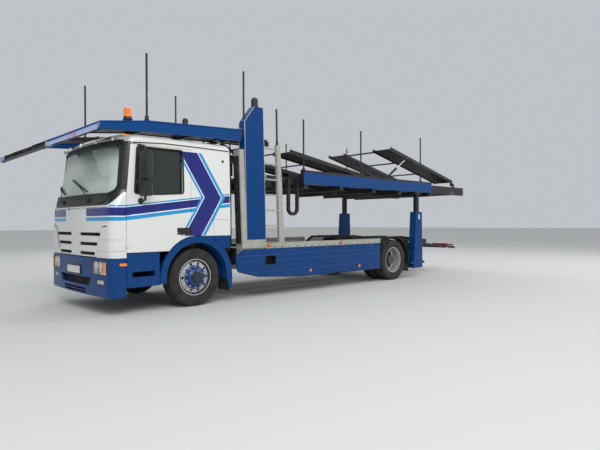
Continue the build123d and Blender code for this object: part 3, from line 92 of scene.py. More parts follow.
class Tree:
    """Builds one procedural material with short calls."""

    def __init__(self, name):
        self.material = bpy.data.materials.new(name)
        self.material.use_nodes = True
        self.tree = self.material.node_tree
        self.shader = self.tree.nodes["Principled BSDF"]

    def feed(self, socket, value):
        value = getattr(value, "socket", value)
        if isinstance(value, bpy.types.NodeSocket):
            self.tree.links.new(value, socket)
        else:
            socket.default_value = value

    def add(self, kind, inputs={}, **settings):
        node = self.tree.nodes.new(kind)
        for key, value in settings.items():
            setattr(node, key, value)
        for key, value in inputs.items():
            self.feed(node.inputs[key], value)
        return node

    def split(self, vector):
        node = self.add("ShaderNodeSeparateXYZ", {0: vector})
        return [Value(self, part) for part in node.outputs]

    @cached_property
    def place(self):
        """Object coordinates in metres, with x forward of the front axle."""
        raw = self.add("ShaderNodeTexCoord").outputs["Object"]
        return self.add("ShaderNodeVectorMath", {0: raw, 1: (front_axle_x, 0.0, 0.0)},
                        operation="SUBTRACT").outputs[0]

    @cached_property
    def axes(self):
        return self.split(self.place)

    def normal(self):
        return self.split(self.add("ShaderNodeNewGeometry").outputs["Normal"])

    def math(self, operation, *values):
        node = self.add("ShaderNodeMath", dict(enumerate(values)), operation=operation)
        return Value(self, node.outputs[0])

    def noise(self, scale, detail=3.0, rough=0.55, stretch=None):
        place = self.place
        if stretch:
            place = self.add("ShaderNodeMapping", {"Vector": place, "Scale": stretch}).outputs[0]
        node = self.add("ShaderNodeTexNoise", {"Scale": scale, "Detail": detail, "Roughness": rough,
                                               "Vector": place})
        return Value(self, node.outputs["Fac"])

    def ramp(self, value, low, high, out_low=0.0, out_high=1.0):
        node = self.add("ShaderNodeMapRange", {"Value": value, "From Min": low, "From Max": high,
                                               "To Min": out_low, "To Max": out_high})
        return Value(self, node.outputs["Result"])

    def within(self, value, low, high):
        """1 where the value lies between two limits, else 0."""
        return (value > low) * (value < high)

    def mix(self, factor, a, b):
        return self.add("ShaderNodeMix", {"Factor": factor, "A": a, "B": b},
                        data_type="RGBA").outputs["Result"]

    def bump(self, height, strength, distance):
        node = self.add("ShaderNodeBump", {"Strength": strength, "Distance": distance, "Height": height})
        self.feed(self.shader.inputs["Normal"], node.outputs[0])

    def finish(self, color, rough, metal=0.0, **more):
        more.update(Base_Color=color, Roughness=rough, Metallic=metal)
        for key, value in more.items():
            self.feed(self.shader.inputs[key.replace("_", " ")], value)
        return self.material


def rgb(*parts):
    """Colour from its 0 to 255 values, as a linear colour."""
    parts = [v / 255.0 for v in parts]
    return tuple(v / 12.92 if v <= 0.04045 else ((v + 0.055) / 1.055) ** 2.4 for v in parts) + (1.0,)


def scaled(color, share):
    return tuple(c * share for c in color[:3]) + (1.0,)


WHITE = rgb(240, 241, 240)
OFF_WHITE = rgb(226, 227, 222)
ROYAL_BLUE = rgb(2, 62, 122)
BEAM_BLUE = rgb(12, 68, 128)
HUB_BLUE = rgb(14, 60, 128)
PALE_LILAC = rgb(150, 162, 192)
WORN_RED = rgb(176, 112, 136)
INDIGO = rgb(16, 26, 116)
CYAN = rgb(14, 150, 208)
PALE_GREY = rgb(174, 176, 166)
WORN_GREY = rgb(128, 126, 116)
NEAR_BLACK = rgb(24, 25, 26)
TRIM_GREY = rgb(92, 92, 88)
ROAD_DUST = rgb(120, 110, 96)
RUST = rgb(112, 70, 44)


def livery(t, colour):
    """Stripes along the cab and chevrons behind the door, over the base colour."""
    x, y, z = t.axes
    # Bands that rise towards the rear; on the front they run level out to the corners
    height = z - t.math("MAXIMUM", 1.25 - x, 0.0) * 0.125
    outside = (abs(y) > 0.44) * (x > -0.632)
    flank = abs(y) > 1.15
    for low, high, tint in ((1.395, 1.452, CYAN), (1.452, 1.468, WHITE), (1.468, 1.588, INDIGO),
                            (1.588, 1.6, WHITE), (1.6, 1.622, CYAN)):
        band = t.within(height, low, high) * outside
        if low > 1.5:
            # The two upper lines stay on the flanks
            band = band * flank
        colour = t.mix(band, colour, tint)
    chevron = x + abs(z - 1.78) * -0.62
    inside = flank * t.within(z, 1.155, 2.5)
    for low, high, tint in ((-0.53, -0.47, CYAN), (-0.47, -0.452, WHITE), (-0.452, -0.13, INDIGO),
                            (-0.13, -0.112, WHITE), (-0.112, -0.07, CYAN)):
        colour = t.mix(t.within(chevron, low, high) * inside, colour, tint)
    return colour


def cab_paint(name, part=None):
    """White gloss paint with the stripes, waviness and road dust, and the part's black areas."""
    t = Tree(name)
    x, y, z = t.axes
    base = t.mix(t.ramp(t.noise(2.0, 2.0), 0.3, 0.7, 0.0, 0.1), OFF_WHITE, scaled(OFF_WHITE, 0.85))
    # Faces of the flanks that look inwards carry grey trim
    colour = t.mix(t.normal()[1] * y < -0.2, livery(t, base), TRIM_GREY)
    if part == "shell":
        # Pillars and cowl round the windscreen, with the body rising at the corner, and the inside
        above = z > t.ramp(x, 1.44, 1.24, 0.0, 0.19) + 1.622
        pillar = above * (x > 1.105) * (z < 2.575)
        cavity = (abs(y) < 1.13) * (x < 1.36) * (z < 2.6) * (x > -0.6)
        colour = t.mix(t.math("MAXIMUM", pillar, cavity), colour, NEAR_BLACK)
    if part == "door":
        handle = t.within(x, 0.115, 0.38) * t.within(z, 1.175, 1.285)
        colour = t.mix(t.math("MAXIMUM", handle, abs(y) < 1.17), colour, NEAR_BLACK)
    if part == "flap":
        colour = t.mix((x < 1.38) * (abs(y) < 0.9), colour, NEAR_BLACK)
    dust = t.ramp(z, 0.9, 1.5, 1.0, 0.0) * t.ramp(t.noise(9.0, 6.0, 0.65), 0.35, 0.8) * 0.13
    t.bump(t.noise(5.0, 1.0), 0.04, 0.01)
    return t.finish(t.mix(dust, colour, ROAD_DUST), dust * 0.5 + 0.28, Coat_Weight=0.25,
                    Coat_Roughness=0.08)


def paint(name, color, dirt=0.1, part=None):
    """Gloss paint with faint waviness, scuffs and road dust that thickens towards the ground."""
    t = Tree(name)
    x, y, z = t.axes
    dust = t.ramp(z, 0.25, 1.3, 1.0, 0.0) * t.ramp(t.noise(9.0, 6.0, 0.65), 0.35, 0.8) * dirt
    base = t.mix(t.ramp(t.noise(2.0, 2.0), 0.3, 0.7, 0.0, 0.3), color, scaled(color, 0.8))
    scuff = t.ramp(t.noise(3.0, 8.0, 0.7, (1.0, 1.0, 6.0)), 0.66, 0.7) * 0.3
    base = t.mix(scuff, base, scaled(color, 1.5))
    if part == "nose":
        # Only the side beams are painted; the tip is pale with a worn red patch
        patch = t.within(x, 1.92, 2.03) * t.ramp(t.noise(20.0), 0.35, 0.6)
        base = t.mix(x + z * 0.4 > 2.7, base, t.mix(patch, PALE_LILAC, WORN_RED))
        base = t.mix(abs(y) > 1.178, deck_grey(t), base)
    if part == "skirts":
        base = t.mix(abs(y) < 1.236, base, NEAR_BLACK)
    t.bump(t.noise(5.0, 1.0), 0.05, 0.01)
    return t.finish(t.mix(dust, base, ROAD_DUST), dust * 0.45 + 0.34, Coat_Weight=0.1,
                    Coat_Roughness=0.1, Specular_IOR_Level=0.14)


def deck_grey(t):
    """Worn dark deck paint, rubbed to grey steel and rust in places."""
    base = t.mix(t.ramp(t.noise(25.0, 6.0, 0.65), 0.3, 0.7, 0.0, 0.5), NEAR_BLACK, rgb(58, 58, 58))
    base = t.mix(t.ramp(t.noise(4.0, 8.0, 0.7), 0.56, 0.68, 0.0, 0.6), base, rgb(92, 90, 86))
    return t.mix(t.ramp(t.noise(11.0, 6.0, 0.7), 0.64, 0.72, 0.0, 0.7), base, RUST)


def deck(name, holes=True):
    """Deck steel; the running plates carry rows of punched holes."""
    t = Tree(name)
    base = deck_grey(t)
    if holes:
        x, y, _ = t.axes
        cell_x, cell_y = (t.math("FRACT", along * 18.0) - 0.5 for along in (x, y))
        hole = t.ramp(cell_x * cell_x + cell_y * cell_y, 0.075, 0.06)
        hole = hole * (abs(t.normal()[2]) > 0.8) * t.within(abs(y), 0.5, 1.0)
        base = t.mix(hole, base, rgb(6, 6, 6))
        t.bump(1.0 - hole, 0.6, 0.004)
    else:
        t.bump(t.noise(40.0, 4.0), 0.2, 0.002)
    return t.finish(base, t.ramp(t.noise(12.0), 0.3, 0.7, 0.45, 0.7), 0.25)


def satin(name, color, rough=0.5, metal=0.0, dirt=0.3, scale=25.0, wear=None, black_inside=None):
    """Satin paint or bare surface with fine variation and dust, black nearer the middle if asked."""
    t = Tree(name)
    fine = t.noise(scale, 5.0, 0.6)
    base = t.mix(t.ramp(fine, 0.3, 0.7, 0.0, 0.35), color, scaled(color, 0.6))
    if wear:
        base = t.mix(t.ramp(t.noise(40.0, 6.0, 0.7), 0.62, 0.7), base, wear)
    if black_inside:
        base = t.mix(abs(t.axes[1]) < black_inside, base, NEAR_BLACK)
    t.bump(fine, 0.15, 0.002)
    dust = t.ramp(t.noise(6.0, 4.0), 0.4, 0.75) * dirt
    return t.finish(t.mix(dust, base, ROAD_DUST), t.ramp(fine, 0.2, 0.8, rough - 0.08, rough + 0.1),
                    metal)


def glass(name, color, see_through, top_band=None):
    t = Tree(name)
    t.bump(t.noise(3.0, 1.0), 0.02, 0.01)
    t.material.surface_render_method = "BLENDED"
    tint = t.mix(t.ramp(t.noise(1.5, 3.0), 0.35, 0.65), color, scaled(color, 0.8))
    if top_band:
        tint = t.mix(t.ramp(t.axes[2], 2.28, 2.5), tint, top_band)
    return t.finish(tint, 0.03, Alpha=1.0 - see_through, Specular_IOR_Level=0.9)


def lens(name, color, glow=0.0):
    """Ribbed lamp lens."""
    t = Tree(name)
    t.bump(t.math("SINE", (t.axes[0] + t.axes[1]) * 420.0), 0.35, 0.002)
    tint = t.mix(t.ramp(t.noise(30.0), 0.4, 0.7), color, scaled(color, 0.7))
    return t.finish(tint, 0.12, Coat_Weight=0.8, Coat_Roughness=0.04, Emission_Color=color,
                    Emission_Strength=glow)


def wheel_paint(name, centre_x, hub=None):
    """Silver wheel with a painted or bare centre, painted shade in darker grey on the front flange and in the rear
    dish, and brake dust round the nuts.
    """
    t = Tree(name)
    across, up = t.axes[0] - centre_x, t.axes[2] - axle_z
    radius = t.math("SQRT", across * across + up * up)
    worn = t.ramp(t.noise(20.0, 6.0), 0.4, 0.7, 0.0, 0.6)
    silver = t.mix(worn, rgb(206, 208, 210), rgb(140, 138, 132))
    shade_grey = t.mix(worn, rgb(92, 93, 96), rgb(70, 68, 66))
    if hub:
        # Painted hub, bright cone round it, and a flange in darker grey inside a bright edge: the darker grey is
        # painted shade on the flange
        outer = radius > 0.196
        colour = t.mix(outer, hub, t.mix(t.within(radius, 0.252, 0.284), silver, shade_grey))
        metal = outer * 0.5
    else:
        # Rear: silver outside the rim's edge; the dished disc inside it is darker grey, painted shade in the
        # recess
        colour, metal = t.mix(radius > 0.243, shade_grey, silver), 0.5
    grime = t.ramp(radius, 0.26, 0.12, 0.1, 0.5) * t.ramp(t.noise(14.0, 5.0), 0.4, 0.7)
    t.bump(t.noise(50.0, 4.0), 0.08, 0.002)
    return t.finish(t.mix(grime, colour, rgb(58, 54, 50)), t.ramp(t.noise(25.0), 0.3, 0.7, 0.28, 0.45),
                    metal)


def make_materials():
    return {
        "frame": satin("chassis_paint", rgb(34, 35, 37), 0.55, wear=RUST),
        "tank": satin("brushed_tank", rgb(170, 172, 174), 0.35, 0.9),
        "cab_white": cab_paint("cab_white"),
        "cab_shell": cab_paint("cab_shell_paint", "shell"),
        "cab_door": cab_paint("cab_door_paint", "door"),
        "cab_flap": cab_paint("cab_flap_paint", "flap"),
        "glass": glass("door_glass", rgb(42, 54, 50), 0.35),
        # The windscreen's pale base colour is a painted reflection of the bright sky; the darker band at the top
        # is its tinted strip
        "screen": glass("screen_glass_sky_reflection", rgb(214, 226, 218), 0.18, rgb(78, 96, 90)),
        "black_plastic": satin("black_plastic", rgb(26, 28, 30), dirt=0.12),
        "seat_cloth": satin("seat_cloth", rgb(66, 68, 76), 0.85, scale=200.0),
        "dash_plastic": satin("dash_plastic", rgb(78, 80, 82), 0.6, dirt=0.05),
        "body_blue": paint("body_blue", ROYAL_BLUE),
        "skirt_blue": paint("skirt_blue", ROYAL_BLUE, part="skirts"),
        "deck_blue": paint("deck_blue", BEAM_BLUE, 0.2, "nose"),
        "beam_blue": paint("beam_blue", BEAM_BLUE),
        "lens": glass("lamp_cover", rgb(226, 226, 216), 0.72),
        "red_lens": lens("red_lens", rgb(168, 14, 14)),
        "amber_lens": lens("amber_lens", rgb(240, 120, 24), 0.15),
        "clear_lens": lens("clear_lens", rgb(236, 234, 222), 0.1),
        "light_grey": satin("rail_grey", PALE_GREY, 0.45, wear=WORN_GREY),
        "tower_grey": satin("tower_grey", PALE_GREY, 0.45, wear=WORN_GREY, black_inside=1.098),
        "deck_black": deck("deck_paint"),
        "steel_black": deck("deck_steel", holes=False),
        "chrome_rod": satin("chrome_rod", rgb(206, 208, 210), 0.12, 1.0, 0.05),
        "tyre": satin("tyre_rubber", rgb(33, 33, 33), 0.82, dirt=0.2, scale=60.0),
        "rim": wheel_paint("rear_wheel_paint", rear_axle),
        "front_rim": wheel_paint("front_wheel_paint", 0.0, HUB_BLUE),
        "rubber": satin("seal_rubber", rgb(20, 20, 21), 0.7, dirt=0.15),
        "bolt": satin("bolt_steel", rgb(150, 150, 148), 0.35, 0.9),
        "red_paint": satin("chock_red", rgb(178, 34, 44), 0.45, wear=rgb(96, 50, 44)),
        "plate": satin("blank_plate", rgb(226, 226, 218), 0.4, dirt=0.12),
        "mirror_glass": satin("mirror_glass", rgb(190, 196, 200), 0.04, 1.0, 0.02),
        "reflector": satin("lamp_reflector", rgb(222, 224, 226), 0.1, 1.0, 0.0),
        "mesh_black": satin("grille_mesh", rgb(24, 24, 25), 0.6),
        "silver_trim": satin("silver_trim", rgb(186, 188, 186), 0.3, 0.7),
        "hub_dark": satin("hub_cap_paint", rgb(38, 46, 62), 0.4, 0.3),
        # Lighter blue of the skirt's pressed lines: painted highlight along the creases
        "skirt_line": satin("skirt_line", rgb(38, 92, 152), 0.4, dirt=0.15),
        "mudflap": satin("mudflap_rubber", rgb(32, 32, 33), 0.8, dirt=0.6),
    }


NODE_FINISH = {
    "cab_shell": "cab_shell", "left_door": "cab_door", "right_door": "cab_door",
    "front_flap": "cab_flap", "windscreen": "screen", "skirts": "skirt_blue",
    "front_deck": "deck_blue", "main_deck_beams": "beam_blue", "front_left_rim": "front_rim",
    "front_right_rim": "front_rim", "main_deck_frame": "steel_black", "inner_posts": "steel_black",
    "main_deck_posts": "steel_black", "front_deck_posts": "steel_black",
    "nose_ram_barrels": "steel_black", "strut_barrels": "steel_black",
    "cable_carrier": "black_plastic", "towers": "tower_grey",
}


def dress_nodes():
    """Each CAD node takes the material of its record slot, or a finer one of the same colour."""
    for part in frame["record"]["subparts"]:
        obj = nodes[part["node"]]
        material = finishes[NODE_FINISH.get(part["node"], part["material_slot"])]
        if not obj.data.materials:
            obj.data.materials.append(material)
        for slot in obj.material_slots:
            slot.link = "OBJECT"
            slot.material = material


# Small helpers for outlines and points
def row(start, step, count):
    return [start + step * i for i in range(count)]


def spread(start, end, steps):
    """Even steps from start to end, with both ends."""
    return [start + (end - start) * i / steps for i in range(steps + 1)]


def fan(count, start=0.0):
    """Angles of a full turn in equal steps."""
    return [start + 2 * pi * i / count for i in range(count)]


def box_outline(width, height):
    """Corners (across, up) of a flat bar's section."""
    a, b = width / 2, height / 2
    return [(-a, -b), (a, -b), (a, b), (-a, b)]


def rounded(width, height, radius, steps=4):
    """Rectangle outline with round corners, about its middle."""
    points = []
    for sx, sy, start in ((1, 1, 0), (-1, 1, 90), (-1, -1, 180), (1, -1, 270)):
        cx, cy = sx * (width / 2 - radius), sy * (height / 2 - radius)
        for i in range(steps + 1):
            a = radians(start + 90 * i / steps)
            points.append((cx + radius * cos(a), cy + radius * sin(a)))
    return points


def round_path(points, radius, steps=5):
    """Closed outline with each corner turned by a short arc."""
    out = []
    count = len(points)
    for i, p in enumerate(points):
        p = Vector(p)
        before, after = Vector(points[i - 1]), Vector(points[(i + 1) % count])
        a, b = (before - p).normalized(), (after - p).normalized()
        half = acos(max(-1, min(1, a.dot(b)))) / 2
        reach = min(radius / tan(half), (before - p).length * 0.45, (after - p).length * 0.45)
        start, end = p + a * reach, p + b * reach
        for k in range(steps + 1):
            s = k / steps
            out.append(tuple(start * (1 - s) ** 2 + p * 2 * s * (1 - s) + end * s ** 2))
    return out


def divided(points, step):
    """Closed outline with its long runs cut into equal parts."""
    out = []
    for (a, b), (c, d) in zip(points, points[1:] + points[:1]):
        count = max(1, round(hypot(c - a, d - b) / step))
        out += [(a + (c - a) * i / count, b + (d - b) * i / count) for i in range(count)]
    return out


class Shape:
    """Collects many solids into one piece."""

    def __init__(self):
        self.mesh = bmesh.new()

    def skin(self, rings, caps=True):
        """Faces between closed rings of equal length."""
        rows = [[self.mesh.verts.new(p) for p in ring] for ring in rings]
        count = len(rows[0])
        for a, b in zip(rows, rows[1:]):
            for i in range(count):
                j = (i + 1) % count
                self.mesh.faces.new((a[i], a[j], b[j], b[i]))
        if caps:
            self.mesh.faces.new(rows[0][::-1])
            self.mesh.faces.new(rows[-1])
        return self

    def box(self, x, y, z):
        return self.skin([[(x[0], y[0], h), (x[1], y[0], h), (x[1], y[1], h), (x[0], y[1], h)]
                          for h in z])

    def slab(self, outline, origin, u, v, depth):
        """Flat outline in the plane of u and v, carried along their cross product."""
        u, v, o = Vector(u), Vector(v), Vector(origin)
        w = u.cross(v).normalized() * depth
        base = [o + u * a + v * b for a, b in outline]
        return self.skin([base, [p + w for p in base]])

    def plate(self, width, tall, radius, place, facing, thick, steps=3):
        """Rounded plate that stands out from a place towards one of the axes."""
        along, side, _ = facing
        u = AHEAD if not along else (0, along, 0)
        v = UP if along or side else LEFT
        return self.slab(rounded(width, tall, radius, steps), place, u, v, -side * thick if side else thick)

    def lathe(self, points, centre, way, sides=32, caps=True):
        """Revolve (along, radius) points about the line through the centre."""
        w, c = Vector(way).normalized(), Vector(centre)
        u = w.cross(Vector(UP if abs(w.z) < 0.9 else AHEAD)).normalized()
        v = w.cross(u)
        return self.skin([[c + w * along + (u * cos(a) + v * sin(a)) * max(radius, 1e-5)
                           for a in fan(sides)] for along, radius in points], caps=caps)

    def bar(self, start, end, radius, sides=12):
        way = Vector(end) - Vector(start)
        return self.lathe([(0, radius), (way.length, radius)], start, way, sides)

    def sweep(self, path, section, up=UP, loop=False):
        """Section (across, up) carried along points."""
        path = [Vector(p) for p in path]
        count = len(path)
        rings = []
        for i, p in enumerate(path):
            before = path[i - 1] if loop or i else p
            after = path[(i + 1) % count] if loop or i < count - 1 else p
            way = (after - before).normalized()
            side = way.cross(Vector(up)).normalized()
            top = side.cross(way)
            rings.append([p + side * a + top * b for a, b in section])
        if loop:
            rings.append(rings[0])
        return self.skin(rings, caps=not loop)

    def tube(self, path, radius, sides=10, up=UP, loop=False):
        return self.sweep(path, [(radius * cos(a), radius * sin(a)) for a in fan(sides)], up, loop)

    def nut(self, centre, way, radius, tall):
        """Hexagon nut with a round washer under it and the stud's end on top."""
        w, c = Vector(way).normalized(), Vector(centre)
        self.lathe([(0, radius * 1.25), (tall * 0.2, radius * 1.25)], c, w, 12)
        self.lathe([(tall * 0.2, radius), (tall * 0.85, radius), (tall, radius * 0.8)], c, w, 6)
        return self.lathe([(tall, radius * 0.5), (tall * 1.4, radius * 0.45)], c, w, 8)

    def piece(self, name, finish, body="chassis", bevel=0.0, smooth=35.0, slot=None):
        """Turn the shape into a piece that rides on a body."""
        bmesh.ops.remove_doubles(self.mesh, verts=self.mesh.verts[:], dist=1e-6)
        bmesh.ops.recalc_face_normals(self.mesh, faces=self.mesh.faces[:])
        bmesh.ops.translate(self.mesh, vec=(front_axle_x, 0, 0), verts=self.mesh.verts[:])
        data = bpy.data.meshes.new(name)
        self.mesh.to_mesh(data)
        self.mesh.free()
        data.shade_smooth()
        data.set_sharp_from_angle(angle=radians(smooth))
        obj = bpy.data.objects.new(name, data)
        scene.collection.objects.link(obj)
        data.materials.append(finishes[finish])
        if bevel:
            edge = obj.modifiers.new("edges", "BEVEL")
            edge.width = bevel
            edge.segments = 2
            edge.limit_method = "ANGLE"
            edge.angle_limit = radians(40)
        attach(obj, body)
        return obj

    def pair(self, *settings, **more):
        """Repeat the shape on the other side of the truck, and make the piece of both."""
        copy = bmesh.ops.duplicate(self.mesh, geom=self.mesh.verts[:] + self.mesh.faces[:])
        moved = [g for g in copy["geom"] if isinstance(g, bmesh.types.BMVert)]
        bmesh.ops.scale(self.mesh, vec=(1, -1, 1), verts=moved)
        return self.piece(*settings, **more)


class Skin:
    """Surface of CAD nodes, touched by rays from the front."""

    def __init__(self, *names):
        points, faces = [], []
        for name in names:
            start = len(points)
            points += [v.co - Vector((front_axle_x, 0, 0)) for v in nodes[name].data.vertices]
            faces += [[start + i for i in p.vertices] for p in nodes[name].data.polygons]
        self.tree = BVHTree.FromPolygons(points, faces)

    def front(self, y, z, proud=0.0):
        """Point that a ray meets, or else the nearest one, lifted along the surface's normal."""
        origin, way = Vector((4.0, y, z)), Vector(AHEAD)
        point, normal, _, _ = self.tree.ray_cast(origin, -way)
        if point is None:
            point, normal, _, _ = self.tree.find_nearest(origin - 2.5 * way)
        if normal.dot(way) < 0:
            normal = -normal
        return point + normal * proud

    def panel(self, columns, low, high, rows, proud):
        """Panel laid over the surface: a grid between two height curves, closed at the back."""
        rings = []
        for y in columns:
            heights = spread(low(y), high(y), rows)
            rings.append([self.front(y, z, proud) for z in heights]
                         + [self.front(y, z, -0.004) for z in heights[::-1]])
        return Shape().skin(rings)


# Wheels: tyres with zigzag grooves, nuts, caps and valves
TREAD = [  # offset from the tyre's middle, radius, zigzag share, notch share
    (0.0, 0.475, 0, 0), (0.021, 0.4748, 1, 0), (0.023, 0.462, 1, 0), (0.032, 0.462, 1, 0),
    (0.034, 0.4747, 1, 0), (0.066, 0.4742, 1, 0), (0.068, 0.461, 1, 0), (0.077, 0.461, 1, 0),
    (0.079, 0.4738, 1, 0), (0.104, 0.472, 0, 0.4), (0.118, 0.469, 0, 1), (0.13, 0.461, 0, 1),
    (0.138, 0.446, 0, 0.5)]
WALL = [  # offset and radius, over the shoulder and the ribs down to the bead
    (0.142, 0.432), (0.145, 0.431), (0.147, 0.424), (0.1475, 0.408), (0.15, 0.404), (0.15, 0.398),
    (0.1485, 0.394), (0.1495, 0.372), (0.148, 0.35), (0.1475, 0.345), (0.149, 0.342), (0.148, 0.334),
    (0.142, 0.322), (0.134, 0.312), (0.13, 0.307), (0.131, 0.3035), (0.118, 0.3015), (0.108, 0.3008),
    (0.108, 0.287)]
FRONT_TYRE_Y, OUTER_TYRE_Y, INNER_TYRE_Y = 1.03, 1.065, 0.715


def tyre(shape, y_mid, centre_x, side):
    """Tyre whose tread has four zigzag grooves, notched shoulders and sidewall ribs."""
    half = TREAD + [(offset, radius, 0, 0) for offset, radius in WALL]
    outline = [(-offset, *rest) for offset, *rest in reversed(half[1:])] + half
    rings = []
    for i, a in enumerate(fan(144)):
        zig = 0.0035 if i % 4 < 2 else -0.0035
        notch = 0.006 if i % 3 == 0 else 0.0
        rings.append([(centre_x + (radius - notch * cut) * cos(a), y_mid + side * (offset + zig * swing),
                       axle_z + (radius - notch * cut) * sin(a)) for offset, radius, swing, cut in outline])
    shape.skin(rings + rings[:1], caps=False)


def on_wheel(x, y, radius, a):
    return (x + radius * cos(a), y, axle_z + radius * sin(a))


def make_wheels():
    for hand, side in SIDES:
        out = (0, side, 0)
        front, rear = f"front_{hand}_wheel", f"rear_{hand}_wheels"
        shape = Shape()
        tyre(shape, side * FRONT_TYRE_Y, 0.0, side)
        obj = shape.piece(f"front_{hand}_tread", "tyre", front, smooth=28, slot="tyre")
        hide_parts(f"front_{hand}_tyre")
        shape = Shape()
        tyre(shape, side * OUTER_TYRE_Y, rear_axle, side)
        tyre(shape, side * INNER_TYRE_Y, rear_axle, side)
        obj = shape.piece(f"rear_{hand}_treads", "tyre", rear, smooth=28, slot="tyre")
        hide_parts(f"rear_{hand}_tyres")
        # Front wheel: ten nuts on the flange, stepped hub cap
        nuts = Shape()
        for a in fan(10, 0.3):
            nuts.nut(on_wheel(0, side * (FRONT_TYRE_Y + 0.112), 0.1675, a), out, 0.0155, 0.026)
        nuts.piece(f"front_{hand}_nuts", "silver_trim", front)
        cap = Shape()
        cap.lathe([(0, 0.099), (0.006, 0.099), (0.012, 0.092), (0.014, 0.075), (0.03, 0.068),
                   (0.036, 0.06), (0.037, 0)], (0, side * (FRONT_TYRE_Y + 0.165), axle_z), out, 40)
        for a in fan(6):
            cap.lathe([(0, 0.007), (0.006, 0.007), (0.008, 0.004)], on_wheel(0, side * 1.208, 0.084, a),
                      out, 6)
        cap.piece(f"front_{hand}_hub_cap", "hub_dark", front, 0.001)
        # Rear wheel: ten nuts deep in the dish, hub end with its flange bolts
        nuts, flange = Shape(), side * (OUTER_TYRE_Y - 0.161)
        for a in fan(10, 0.2):
            nuts.nut(on_wheel(rear_axle, flange, 0.1375, a), out, 0.0155, 0.03)
        nuts.piece(f"rear_{hand}_nuts", "bolt", rear)
        hub = Shape()
        hub.lathe([(0, 0.098), (0.1, 0.096), (0.104, 0.104), (0.12, 0.104), (0.124, 0.096),
                   (0.128, 0.06), (0.15, 0.052), (0.152, 0)], (rear_axle, flange, axle_z), out, 36)
        for a in fan(8, 0.1):
            hub.nut(on_wheel(rear_axle, side * (OUTER_TYRE_Y - 0.037), 0.083, a), out, 0.009, 0.01)
        hub.piece(f"rear_{hand}_hub", "rim", rear, 0.001)
        for tag, x, y, body in (("front", 0.03, FRONT_TYRE_Y + 0.095, front),
                                ("rear", rear_axle + 0.03, OUTER_TYRE_Y + 0.07, rear)):
            valve = [(x, side * (y + out_by), axle_z + up)
                     for out_by, up in ((0, 0.262), (0.02, 0.25), (0.045, 0.236))]
            Shape().tube(valve, 0.005, 8, AHEAD).piece(f"{tag}_{hand}_valve", "bolt", body)


# Cab: cowl, seals, wipers, grille, lamps, plates and trim
WIRE = rounded(0.004, 0.004, 0.001, 1)


def screen_outline(grow):
    """Closed outline (y, z) of the windscreen opening with its round corners, grown outwards."""
    points, steps = [], 8
    for y, z, radius, start in ((1.15, 1.805, 0.12, -90), (1.09, 2.535, 0.07, 0),
                                (-1.09, 2.535, 0.07, 90), (-1.15, 1.805, 0.12, 180)):
        cy, cz = y - copysign(radius, y), z - copysign(radius, z - 2)
        for i in range(steps + 1):
            a = radians(start + 90 * i / steps)
            points.append((cy + (radius + grow) * cos(a), cz + (radius + grow) * sin(a)))
    return divided(points, 0.08)


